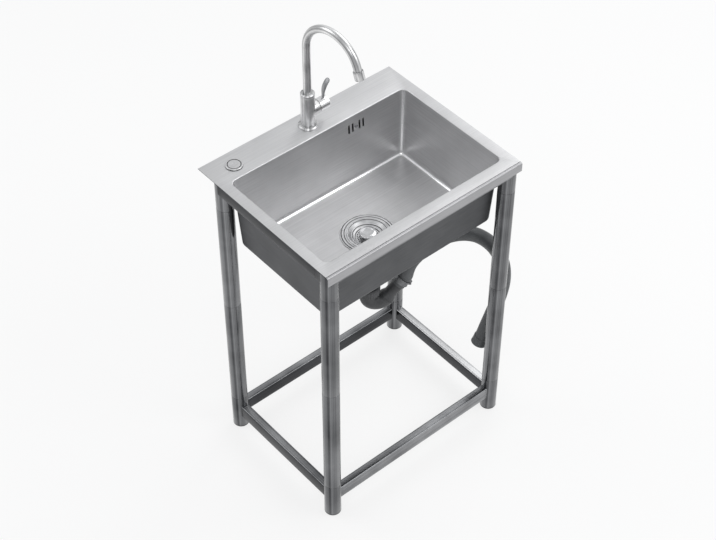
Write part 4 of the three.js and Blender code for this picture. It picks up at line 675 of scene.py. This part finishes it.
bore = CUP_RADIUS - 1.5
body_line = softened([
    (OUTLET_RADIUS, CUP_BOTTOM), (CUP_RADIUS, CUP_BOTTOM), (CUP_RADIUS, FLOOR_Z + 0.3),
    (FLANGE_RADIUS, FLOOR_Z + 0.3), (FLANGE_RADIUS - 0.6, FLANGE_TOP - 0.1),
    (FLANGE_RADIUS - 2.6, FLANGE_TOP),
    (FLANGE_RADIUS - 3.2, FLANGE_TOP - 1.1), (FLANGE_RADIUS - 4.2, FLANGE_TOP - 1.1),
    (FLANGE_RADIUS - 5, FLANGE_TOP - 0.1),
    (55, FLANGE_TOP), (54, FLANGE_TOP - 0.5), (53, FLANGE_TOP), (bore + 2, FLANGE_TOP - 0.2),
    (bore, FLANGE_TOP - 1.2), (bore, CUP_BOTTOM + 1.5), (OUTLET_RADIUS, CUP_BOTTOM + 1.5)],
    [0.2, 5, 1, 0.3, 0.5, 0.3, 0.3, 0.3, 0.5, 0.4, 0.4, 0.4, 0.8, 1, 4, 0.2], closed=True)
stub_line = softened([(4.6, bore + 0.8), (6.4, bore + 0.8), (6.4, STUB_END), (4.6, STUB_END)],
                     [0.2, 0.2, 0.6, 0.4], closed=True)
stub = carried(turned(stub_line, 32), (0, DRAIN_Y, STUB_Z), (90, "Y"), (math.degrees(STUB_AIM), "Z"))


def on_drain(line, sides=72, ripple=None):
    """A section carried round the drain's axis."""
    return carried(turned(line, sides, ripple), (0, DRAIN_Y, 0))


# Painted shade in the flange's two grooves.
body_kinds = np.zeros((len(body_line) - 1, 96), int)
body_kinds[32:42] = body_kinds[48:56] = 1
finished("strainer_body", [on_drain(body_line, 96), stub], [drain_steel, groove_painted_shade],
         [body_kinds, np.zeros((len(stub_line) - 1, 32), int)])

outlet_line = nut_line(OUTLET_RADIUS, OUTLET_RADIUS + 2, CUP_BOTTOM - 22, CUP_BOTTOM - 0.3, 0.4)
finished("strainer_outlet", [on_drain(outlet_line)], [drain_steel])

# The basket is a shallow pressed dish: a rim, a slope with two low ridges, and small holes round the
# knob. The faces that drop away inside the rim and behind each ridge are painted dark as shade.
BASKET_OUTSIDE = bore - 1
BASKET_SEAT = FLANGE_TOP + 0.3
BASKET_FLOOR = BASKET_SEAT - 10
basket_line = softened([
    (0, BASKET_FLOOR - 1), (BASKET_OUTSIDE - 2.5, BASKET_FLOOR - 1), (BASKET_OUTSIDE, BASKET_SEAT - 2),
    (BASKET_OUTSIDE, BASKET_SEAT), (bore + 3.5, BASKET_SEAT), (bore + 3.5, BASKET_SEAT + 1),
    (BASKET_OUTSIDE + 1.2, BASKET_SEAT + 0.9), (BASKET_OUTSIDE - 0.2, BASKET_SEAT - 0.6),
    (BASKET_OUTSIDE - 1.4, BASKET_SEAT - 1.2), (37.4, BASKET_FLOOR + 4.4),
    (36, BASKET_FLOOR + 4.5), (34.6, BASKET_FLOOR + 3.2), (30.6, BASKET_FLOOR + 1.4),
    (29.4, BASKET_FLOOR + 1.6),
    (28.2, BASKET_FLOOR), (3.5, BASKET_FLOOR), (3.5, BASKET_FLOOR + 8), (0, BASKET_FLOOR + 8)],
    [0, 1.2, 1, 0.2, 0.2, 0.4, 1, 0.6, 0.4, 0.8, 0.6, 0.6, 0.7, 0.5, 0.7, 0.3, 0.3, 0], steps=4)
# Painted shade on the faces that drop away inside the rim and behind each ridge.
basket_kinds = np.zeros((len(basket_line) - 1, 96), int)
basket_kinds[32:37] = basket_kinds[53:57] = basket_kinds[68:72] = 1
basket = finished("strainer_basket", [on_drain(basket_line, 96)], [drain_steel, groove_painted_shade], [basket_kinds])
hole_line = [(0, BASKET_FLOOR - 3), (1.7, BASKET_FLOOR - 3), (1.7, BASKET_FLOOR + 3), (0, BASKET_FLOOR + 3)]
holes = [carried(turned(hole_line, 12), (ring * math.cos(at), DRAIN_Y + ring * math.sin(at), 0))
         for ring, count in ((13, 14), (18.6, 20), (24.2, 26))
         for at in np.arange(count) * 2 * math.pi / count]
shaped_by(basket, bare("holes", holes), "DIFFERENCE")

# The knob is a polished mushroom with a shallow ring turned in its top, screwed on the post.
KNOB_LOW = BASKET_FLOOR + 0.3
KNOB_TOP = KNOB_LOW + 15
knob_line = softened([
    (3.8, KNOB_LOW), (8, KNOB_LOW), (8, KNOB_TOP - 6.4), (18.5, KNOB_TOP - 6.2), (20.5, KNOB_TOP - 4),
    (19.2, KNOB_TOP - 1.6), (14, KNOB_TOP - 0.2), (12.6, KNOB_TOP), (11.6, KNOB_TOP - 0.7),
    (0, KNOB_TOP - 0.2),
    (0, KNOB_LOW + 8), (3.8, KNOB_LOW + 8)],
    [0.3, 0.5, 1.5, 1, 1.4, 1.6, 1, 0.5, 0.6, 0, 0, 0.3], closed=True)
knob_steel = steel_finish("polished_knob_steel", "#C6C7C9", "#F0F0F1", 0.16, 0.8, 20, 12, "u", 0.01)
finished("basket_knob", [on_drain(knob_line)], [knob_steel])

rubber = moulded_finish("moulded_black_nitrile_rubber", "#1D1E1F", "#2B2C2D", 0.75, 12, 1.2, 0.06)
gasket_top = FLOOR_Z - SHEET - 0.3
gasket_line = nut_line(CUP_RADIUS + 0.3, CUP_RADIUS + 12, gasket_top - 3, gasket_top, 1.2)
finished("strainer_gasket", [on_drain(gasket_line)], [rubber])

GRIPS = 24


def grips(radius, height, turn):
    """Finger grips: the outside of a nut swells and falls like a rounded wave round it."""
    wide = np.where(radius > radius.max() - 1.5, 1.1, 0)
    return -wide * (0.5 + 0.5 * np.cos(GRIPS * turn)) ** 2


lock_top = gasket_top - 3.3
lock_line = nut_line(CUP_RADIUS + 0.3, CUP_RADIUS + 10, lock_top - 13, lock_top, 1)
finished("strainer_lock_nut", [on_drain(lock_line, 192, grips)], [moulded])

# ---- Waste pipe and trap ------------------------------------------------------------------------
# Dark grey moulded plastic: a tail pipe from the strainer, two slip nuts with finger grips, a
# U-bend that keeps its water seal, and an arm that narrows to take the hose.

OUTLET_END = CUP_BOTTOM - 22
BEND_PIPE = 20

tail_line = nut_line(15, 17, BEND_CENTRE_Z + 7, OUTLET_END + 11, 0.5)
finished("tail_pipe", [on_drain(tail_line)], [moulded])


def slip_nut(socket, wall, end, towards):
    """A slip nut's section: wide over the socket, and a shoulder that closes round the pipe."""
    shoulder = end - towards * 0.3
    opening, closed = end + towards * 14.7, shoulder - towards * 6.3
    outside = socket + wall
    corners = [(17.4, closed), (outside - 2.5, closed), (outside, closed + towards * 3.5), (outside, opening),
               (socket + 0.4, opening), (socket + 0.4, shoulder), (17.4, shoulder)]
    line = softened(corners, [0.4, 1.2, 1.2, 0.8, 0.3, 0.2, 0.3], closed=True)
    return line if towards > 0 else line[::-1]


for name, socket, wall, end, towards in (("tail_slip_nut", OUTLET_RADIUS + 2, 5.5, OUTLET_END, 1),
                                         ("trap_slip_nut", BEND_PIPE, 9.5, BEND_CENTRE_Z + 28, -1)):
    finished(name, [on_drain(slip_nut(socket, wall, end, towards), 192, grips)], [moulded])

arc = np.linspace(0, math.pi / 2 + TRAP_RISE, 40)
bend_path = np.vstack([
    np.column_stack([np.zeros(8), BEND_CENTRE_Z + np.linspace(28, 1, 8)]),
    np.stack([BEND_RADIUS * (1 - np.cos(arc)), BEND_CENTRE_Z - BEND_RADIUS * np.sin(arc)], 1)])
bead = np.linspace(0, 1, len(bend_path))
bend_outer = BEND_PIPE + 1.0 * np.exp(-((bead - 0.97) / 0.02) ** 2)
finished("trap_bend", [pipe_grid(in_trap_plane(bend_path), bend_outer, BEND_PIPE - 2, ACROSS_TRAP)],
         [moulded])

arm_line = softened([
    (13, -12), (15, -12), (15, 0.3), (20, 0.3), (20, 3), (15.2, 14), (15, ARM_LENGTH), (13, ARM_LENGTH)],
    [0.3, 0.4, 0.3, 0.8, 2, 8, 0.4, 0.3], closed=True)
finished("trap_arm", [on_arm(turned(arm_line))], [moulded])

# ---- Tap ----------------------------------------------------------------------------------------
# A single-lever tap of brushed stainless steel: turned column with a side housing for the valve,
# a bent gooseneck tube that swivels in a collar, and a lever on a hub that turns on the valve.

TAP_LIGHT, TAP_DARK = "#FFFFFF", "#77787A"
BODY_RADIUS = 16.4
SIDE_RADIUS = 15.8
SIDE_HEIGHT = 42
SIDE_REACH = 25.5
BODY_TOP = 85
SPOUT_RADIUS = 9.1
SPOUT_RISE = 218.6
SPOUT_ARC = 77
SPOUT_SWEEP = math.radians(160)
SPOUT_TAIL = 28
SPOUT_AIM = 6
ON_TAP = (0, TAP_Y, RIM_HEIGHT)
ON_SIDE = (0, TAP_Y, RIM_HEIGHT + SIDE_HEIGHT)

# Drawn and satin-polished steel: the lines run along each tube and turned part.
tap_steel = steel_finish("fine_brushed_tap_steel", TAP_DARK, TAP_LIGHT, 0.3, 5, 2000, 60, "v", 0.003)
hub_steel = steel_finish("turned_bright_hub_steel", "#E2E2E3", "#FFFFFF", 0.24, 1, 40, 20, "u")
lever_steel = steel_finish("brushed_lever_steel", "#77787A", "#B5B6B8", 0.34, 1.2, 40, 20, "v")

base_line = softened([(10.3, 0.3), (23, 0.3), (23, 3), (20.6, 5.4), (BODY_RADIUS, 6.3), (10.3, 6.3)],
                     [0.2, 0.4, 1, 1.5, 0.8, 0.2], closed=True)
finished("tap_base_flange", [carried(turned(base_line), ON_TAP)], [tap_steel])

column_line = softened([(10.3, 6.6), (BODY_RADIUS, 6.6), (BODY_RADIUS, BODY_TOP), (10.3, BODY_TOP)],
                       [0.2, 0.5, 0.5, 0.2], closed=True)
housing_line = softened([(0, 0), (SIDE_RADIUS, 0), (SIDE_RADIUS, SIDE_REACH), (12.4, SIDE_REACH),
                         (12.4, 10), (0, 10)], [0, 0, 0.6, 0.4, 0, 0])
column = finished("tap_body", [carried(turned(column_line, 96), ON_TAP)], [tap_steel])
side = carried(turned(housing_line, 96), ON_SIDE, (90, "Y"))
shaped_by(column, bare("side_housing", [side]), "UNION")

collar_line = softened([(9.5, 85.3), (BODY_RADIUS, 85.3), (BODY_RADIUS, 91), (14.4, 93), (9.5, 93)],
                       [0.2, 0.4, 0.8, 0.8, 0.3], closed=True)
finished("spout_collar", [carried(turned(collar_line), ON_TAP)], [tap_steel])

spout_foot = BODY_TOP + 8 - 22
arc = np.linspace(0, SPOUT_SWEEP, 64)
tail = np.linspace(0, SPOUT_TAIL, 9)[1:]
spout_path = np.vstack([
    np.column_stack([np.zeros(24), np.linspace(spout_foot, SPOUT_RISE - 4, 24)]),
    np.stack([SPOUT_ARC * (1 - np.cos(arc)), SPOUT_RISE + SPOUT_ARC * np.sin(arc)], 1),
    np.stack([SPOUT_ARC * (1 - math.cos(SPOUT_SWEEP)) + tail * math.sin(SPOUT_SWEEP),
              SPOUT_RISE + SPOUT_ARC * math.sin(SPOUT_SWEEP) + tail * math.cos(SPOUT_SWEEP)], 1)])
spout_line = np.column_stack([np.zeros(len(spout_path)), -spout_path[:, 0], spout_path[:, 1]])
tube = pipe_grid(spout_line, SPOUT_RADIUS, SPOUT_RADIUS - 1.3, (1, 0, 0), 64)
finished("spout_tube", [carried(tube, ON_TAP, (SPOUT_AIM, "Z"))], [tap_steel])

sleeve_line = softened([
    (6.5, -2), (11.5, -2), (11.5, 15.6), (10.7, 16), (10.7, 16.5), (11.5, 16.9), (11.5, 18), (9.7, 18),
    (9.7, -0.3), (6.5, -0.3)], [0.3, 0.7, 0.3, 0.2, 0.2, 0.3, 0.5, 0.2, 0.2, 0.2], closed=True)
mesh_line = [(0, 0.2), (6.7, 0.2), (6.7, 1.2), (0, 1.2)]
tip = spout_line[-1]
finished("aerator", [carried(carried(turned(line), tip, (math.degrees(SPOUT_SWEEP) - 180, "X")), ON_TAP,
                             (SPOUT_AIM, "Z")) for line in (sleeve_line, mesh_line)], [tap_steel])

# The hub is a turned cap over the valve's stem; the lever is a curved blade with a round tip.
HUB_START = SIDE_REACH + 1.2
HUB_END = HUB_START + 27.5
LEVER_X = HUB_START + 17
hub_line = softened([
    (12.6, HUB_START), (SIDE_RADIUS, HUB_START), (SIDE_RADIUS, HUB_END - 2.5), (SIDE_RADIUS - 2.5, HUB_END),
    (0, HUB_END),
    (0, HUB_START + 17), (4.3, HUB_START + 17), (4.3, HUB_START + 6.4), (12.6, HUB_START + 6.4)],
    [0.3, 0.5, 1.6, 1.6, 0, 0, 0.2, 0.3, 0.5], closed=True)
finished("tap_handle_hub", [carried(turned(hub_line), ON_SIDE, (90, "Y"))], [hub_steel])

LEVER_TALL = 42.5
LEVER_LEAN = 17.5


def lever_grid(rings=56, sides=36):
    """The blade as rings up its height. Each ring is a superellipse, wide across and thin through,
    square to the blade's own lean. The blade widens towards its tip, leans outwards with the cube
    of its height, is hollowed a little across its face, and ends in a half circle."""
    share = (1 - np.cos(np.linspace(0, math.pi, rings))[:, None]) / 2
    height = SIDE_RADIUS + 0.6 + LEVER_TALL * share
    slope = np.arctan(3 * LEVER_LEAN * share ** 2 / LEVER_TALL)
    from_tip = LEVER_TALL * (1 - share) / np.cos(slope)
    width = 4 + 3 * np.sin(np.clip(share / 0.65, 0, 1) * math.pi / 2) ** 2
    width = width * np.sqrt(np.clip(1 - np.clip(1 - from_tip / 7, 0, 1) ** 2, 0, 1))
    thick = 1.8 * (1 - 0.35 * share) * np.sqrt(np.clip(from_tip / 1.2, 0, 1))
    turn = np.linspace(0, 2 * math.pi, sides + 1)[None]
    across = np.sign(np.cos(turn)) * np.abs(np.cos(turn)) ** 0.8 * width
    through_it = np.sign(np.sin(turn)) * np.abs(np.sin(turn)) ** 0.8 * thick
    through_it = through_it + 0.5 * share * (1 - (across / 7) ** 2)
    x = LEVER_X + LEVER_LEAN * share ** 3 - through_it * np.cos(slope)
    grid = np.stack([x, across, height + through_it * np.sin(slope)], -1)
    foot = np.broadcast_to([LEVER_X, 0, SIDE_RADIUS + 0.6], grid[:1].shape)
    return np.concatenate([foot, grid])


pin = turned(softened([(0, 10.9), (3.2, 10.9), (3.2, 18), (0, 18)], 0.3), 24)
finished("tap_lever", [carried(lever_grid(), ON_SIDE),
                       carried(pin, (LEVER_X, TAP_Y, RIM_HEIGHT + SIDE_HEIGHT))], [lever_steel])

# Under the deck: a threaded shank with a rubber washer and a hexagon nut; in the side housing, the
# valve's dark plastic body shows as a ring in the gap behind the hub.
THREAD_PITCH = 1.8
shank_top, shank_end = 20.3, -46
threads = np.arange(shank_end + 1, -2, THREAD_PITCH / 2)
thread_radius = np.where(np.arange(len(threads)) % 2, 10.0, 9.3)
shank_line = np.vstack([[(7, shank_end), (9.3, shank_end)], np.column_stack([thread_radius, threads]),
                        [(10, -1.5), (10, shank_top), (7, shank_top), (7, shank_end)]])
finished("tap_shank", [carried(turned(shank_line), ON_TAP)], [bright_steel])
finished("tap_washer", [carried(turned(nut_line(10.3, NUT_RADIUS, -4.8, -1.8, 0.8)), ON_TAP)], [rubber])
finished("tap_lock_nut", [carried(turned(nut_line(10.3, NUT_RADIUS, -15.1, -5.1, 0.8), 72, hexagon), ON_TAP)],
         [bright_steel])

STEM_END = HUB_START + 16.7   # just short of the hub's bore, which turns round it
valve_line = softened([(0, SIDE_REACH - 15.7), (12, SIDE_REACH - 15.7), (12, SIDE_REACH), (4, SIDE_REACH),
                       (4, STEM_END), (0, STEM_END)], [0, 0.4, 0.5, 0.3, 0.4, 0])
finished("tap_cartridge", [carried(turned(valve_line), ON_SIDE, (90, "Y"))], [moulded])

# ---- Stand --------------------------------------------------------------------------------------
# Polished stainless tube, 40 mm round for the legs, 20 by 30 mm for the top rails and 20 by 36 mm
# for the lower ones. Corner sleeves
# with rail sockets push into the legs, so a fine joint line shows round each leg.

LEG_X, FRONT_LEG_Y, REAR_LEG_Y = 254, -198.9, 158
FRONT_RAIL_Y, REAR_RAIL_Y = -208.5, 155
TOP_RAIL_X = 263.6
LEG_RADIUS = 20
CORNER_TOP, CORNER_SEAM = 811.2, 733.5
MID_JOINT = 431
LOW_SEAM = 106
LOW_RAIL, TOP_RAIL = (42, 36), (780.9, 30)   # underside and height
BOSS_END = 22.5
STAND_LIGHT, STAND_DARK = "#929395", "#2A2B2E"
# Rail sides and tops are coloured darker and lighter as painted shade and painted light, with a painted
# highlight on the right rail's top.
RAIL_PAINTED_SHADE, RAIL_PAINTED_LIGHT, RAIL_PAINTED_HIGHLIGHT = ("#1A1B1D", "#4A4B4E"), ("#454649", "#B1B2B4"), ("#8A8B8D", "#F4F4F5")
FOOT_TALL = 5

# Drawn tube, polished along its length: broad random dark and light streaks run the length of each leg, made
# very dark and strong as painted reflections.
stand_steel = steel_finish("polished_drawn_tube_with_painted_reflections", STAND_DARK, STAND_LIGHT, 0.2, 7, 4000, 120,
                           "v", 0.004)
painted_shade_rail_steel = steel_finish("drawn_rail_steel_painted_shade", *RAIL_PAINTED_SHADE, 0.24, 5, 2000, 90, "v", 0.003)
painted_light_rail_steel = steel_finish("drawn_rail_steel_painted_light", *RAIL_PAINTED_LIGHT, 0.3, 5, 2000, 90, "v", 0.003)
painted_highlight_rail_steel = steel_finish("drawn_rail_steel_painted_highlight", *RAIL_PAINTED_HIGHLIGHT, 0.3, 5, 2000, 90, "v", 0.003)
rail_finishes = [stand_steel, painted_shade_rail_steel, painted_light_rail_steel, painted_highlight_rail_steel]
SIDE, TOP, BRIGHT = 1, 2, 3   # places in rail_finishes


def tube_section(radius, bore, bottom, top, edge=0.5):
    """A straight tube's section with softened ends."""
    return softened([(bore, bottom), (radius, bottom), (radius, top), (bore, top)], [0.2, edge, edge, 0.2],
                    closed=True)


def rail_ring(place, inset, steps=5):
    """A rail's section, 20 mm wide with rounded edges, drawn in by inset, as (across, up)."""
    low, tall = place
    x, bottom, top = 10 - inset, low + inset, low + tall - inset
    return softened([(x, bottom), (x, top), (-x, top), (-x, bottom)], max(3 - inset, 1), steps, closed=True)


def rail_grid(x0, x1, low):
    """A rail along X: its section at both ends outside, then inside, back to the start."""
    outer, inner = rail_ring(low, 0), rail_ring(low, 1.5)
    rows = [(x0, outer), (x1, outer), (x1, inner), (x0, inner), (x0, outer)]
    return np.stack([np.column_stack([np.full(len(ring), x), ring]) for x, ring in rows])


def socket_grid(low):
    """A closed rail socket along +X from a leg's axis: a boss, then a slimmer spigot."""
    boss, slim = rail_ring(low, 0), rail_ring(low, 1.9)
    middle = np.zeros_like(boss) + boss.mean(0)
    rows = [(0, middle), (0, boss), (BOSS_END, boss), (BOSS_END, slim), (50, slim), (50, middle)]
    return np.stack([np.column_stack([np.full(len(ring), x), ring]) for x, ring in rows])


def rail_kinds(side, top, rows):
    """The finish of each face of a rail or socket: one for its sides and one for its top, which carry
    painted shade and painted light."""
    kinds = np.full((rows, 24), side)
    kinds[:, 8:15] = top
    return kinds


# Each rail's side and top finish: the front rail is painted light all round, the right rail's top carries a
# painted highlight, and the other sides are painted shade.
FRONT_RAIL, REAR_RAIL, LEFT_RAIL, RIGHT_RAIL = (TOP, TOP), (SIDE, TOP), (SIDE, TOP), (SIDE, BRIGHT)


def sockets(side_x, inward, low, across_offset, along_offset):
    """The two sockets of a corner, round its leg's axis, each with the painted light and shade of its rail.
    """
    across = carried(socket_grid(low), (0, across_offset, 0), (180 if side_x > 0 else 0, "Z"))
    along = carried(socket_grid(low), (side_x * along_offset, 0, 0), (inward * 90, "Z"))
    return [(across, rail_kinds(*(FRONT_RAIL if inward > 0 else REAR_RAIL), 5)),
            (along, rail_kinds(*(RIGHT_RAIL if side_x > 0 else LEFT_RAIL), 5))]


CORNERS = (("front_left", -1, FRONT_LEG_Y, 1, FRONT_RAIL_Y), ("front_right", 1, FRONT_LEG_Y, 1, FRONT_RAIL_Y),
           ("rear_left", -1, REAR_LEG_Y, -1, REAR_RAIL_Y), ("rear_right", 1, REAR_LEG_Y, -1, REAR_RAIL_Y))
SPIGOT, SPIGOT_BORE = 18.1, 16.6

foot_plastic = moulded_finish("moulded_black_polyethylene", "#2A2B2C", "#3A3B3D", 0.5, 15, 2, 0.08)

for corner, side_x, leg_y, inward, rail_y in CORNERS:
    place = (side_x * LEG_X, leg_y, 0)
    foot = softened([(0, 0), (17, 0), (20, 3), (20, FOOT_TALL), (16, FOOT_TALL), (16, 19), (0, 19)],
                    [0, 1.5, 1.2, 0.5, 0, 0.5, 0])
    finished("foot_pad_" + corner, [carried(turned(foot, 64), place)], [foot_plastic])
    lower_line = tube_section(LEG_RADIUS, 18.5, LOW_SEAM + 0.3, MID_JOINT)
    finished("lower_leg_" + corner, [carried(turned(lower_line), place)], [stand_steel])
    upper_line = softened([
        (SPIGOT_BORE, MID_JOINT - 27.7), (SPIGOT, MID_JOINT - 27.7), (SPIGOT, MID_JOINT + 0.3),
        (LEG_RADIUS, MID_JOINT + 0.3), (LEG_RADIUS, CORNER_SEAM - 0.3), (18.5, CORNER_SEAM - 0.3),
        (18.5, MID_JOINT + 1.8), (SPIGOT_BORE, MID_JOINT + 0.3)],
        [0.2, 0.3, 0.2, 0.5, 0.5, 0.2, 0.5, 0.5], closed=True)
    finished("upper_leg_" + corner, [carried(turned(upper_line), place)], [stand_steel])
    top_line = softened([
        (0, CORNER_SEAM - 28), (SPIGOT, CORNER_SEAM - 28), (SPIGOT, CORNER_SEAM), (LEG_RADIUS, CORNER_SEAM),
        (LEG_RADIUS, CORNER_TOP - 3), (17, CORNER_TOP), (0, CORNER_TOP)], [0, 0.4, 0.2, 0.5, 1.5, 1.5, 0])
    low_line = softened([
        (SPIGOT_BORE, 5.3), (LEG_RADIUS, 5.3), (LEG_RADIUS, LOW_SEAM), (SPIGOT, LOW_SEAM),
        (SPIGOT, LOW_SEAM + 28),
        (SPIGOT_BORE, LOW_SEAM + 28)], [0.2, 0.5, 0.5, 0.2, 0.4, 0.2], closed=True)
    for name, line, ends in (
            ("top_corner_", top_line, sockets(side_x, inward, TOP_RAIL, rail_y - leg_y, TOP_RAIL_X - LEG_X)),
            ("lower_corner_", low_line, sockets(side_x, inward, LOW_RAIL, 0, 0))):
        sleeve = finished(name + corner, [carried(turned(line), place)], rail_finishes)
        for end, kinds in ends:
            shaped_by(sleeve, bare("rail_socket", [carried(end, place)], [kinds]), "UNION")

for level, low, front_y, rear_y, side_at in (("lower", LOW_RAIL, FRONT_LEG_Y, REAR_LEG_Y, LEG_X),
                                             ("top", TOP_RAIL, FRONT_RAIL_Y, REAR_RAIL_Y, TOP_RAIL_X)):
    across = rail_grid(-LEG_X + 22.8, LEG_X - 22.8, low)
    along = rail_grid(FRONT_LEG_Y + 22.8, REAR_LEG_Y - 22.8, low)
    for side, kinds, grid in (("front", FRONT_RAIL, carried(across, (0, front_y, 0))),
                              ("rear", REAR_RAIL, carried(across, (0, rear_y, 0))),
                              ("left", LEFT_RAIL, carried(along, (-side_at, 0, 0), (90, "Z"))),
                              ("right", RIGHT_RAIL, carried(along, (side_at, 0, 0), (90, "Z")))):
        finished(level + "_rail_" + side, [grid], rail_finishes, [rail_kinds(*kinds, 4)])

# ---- Floor and light ----------------------------------------------------------------------------
# A plain pale studio floor, four soft lights high round the sink, the largest on the right, and an
# even pale surround.

floor_mesh = bpy.data.meshes.new("studio_floor")
floor_mesh.from_pydata([(-30, -30, 0), (30, -30, 0), (30, 30, 0), (-30, 30, 0)], [], [(0, 1, 2, 3)])
floor = bpy.data.objects.new("studio_floor", floor_mesh)
bpy.context.scene.collection.objects.link(floor)
paper = bpy.data.materials.new("matt_white_studio_paper")
place = node(paper, "TexCoord").outputs["Object"]
cloud = node(paper, "TexNoise", Vector=place, Scale=1 / (900 * MM), Detail=2.0)
shade = node(paper, "Mix", {"data_type": "RGBA"}, i0=cloud,
             i6=linear("#F2F2F2"), i7=linear("#F6F6F6")).outputs[2]
# The camera, and so metal and glass too, see most of the paper's own white, under a light shadow.
ray = node(paper, "LightPath").outputs
seen = node(paper, "Math", {"operation": "MAXIMUM"}, i0=ray["Is Camera Ray"], i1=ray["Is Glossy Ray"])
seen = node(paper, "Math", {"operation": "MAXIMUM"}, i0=seen, i1=ray["Is Transmission Ray"])
white = node(paper, "Math", {"operation": "MULTIPLY"}, i0=seen, i1=0.75)
sheet = node(paper, "BsdfPrincipled", Base_Color=shade, Roughness=0.9)
glow = node(paper, "Emission", Color=(1, 1, 1, 1), Strength=1.0)
both = node(paper, "MixShader", i0=white, i1=sheet, i2=glow)
paper.node_tree.links.new(both.outputs[0], paper.node_tree.nodes["Material Output"].inputs["Surface"])
floor_mesh.materials.append(paper)

world = bpy.data.worlds.new("studio")
world.use_nodes = True
world.node_tree.nodes["Background"].inputs["Color"].default_value = (0.98, 0.99, 1, 1)
world.node_tree.nodes["Background"].inputs["Strength"].default_value = 0.66
bpy.context.scene.world = world

# name, place, size and radiance, where 1 is white paper's
LAMPS = (("right_softbox", (2.6, 0.5, 3.1), (2.4, 2.4), 1.5),
         ("front_right_softbox", (1.5, -2.1, 2.7), (1.8, 1.8), 2.2),
         ("rear_left_softbox", (-1.7, 2.0, 3.0), (1.8, 1.8), 1.6),
         ("front_left_softbox", (-2.3, -2.7, 3.9), (1.8, 1.8), 2.2))
for name, place, size, radiance in LAMPS:
    light = bpy.data.lights.new(name, "AREA")
    light.shape, light.size, light.size_y = "RECTANGLE", *size
    light.energy = radiance * math.pi * size[0] * size[1]
    lamp = bpy.data.objects.new(name, light)
    aim = Vector((0, 0, 0.6)) - Vector(place)
    lamp.matrix_world = Matrix.Translation(place) @ aim.to_track_quat("-Z", "Y").to_matrix().to_4x4()
    bpy.context.scene.collection.objects.link(lamp)
bpy.context.scene.view_settings.view_transform = "Standard"
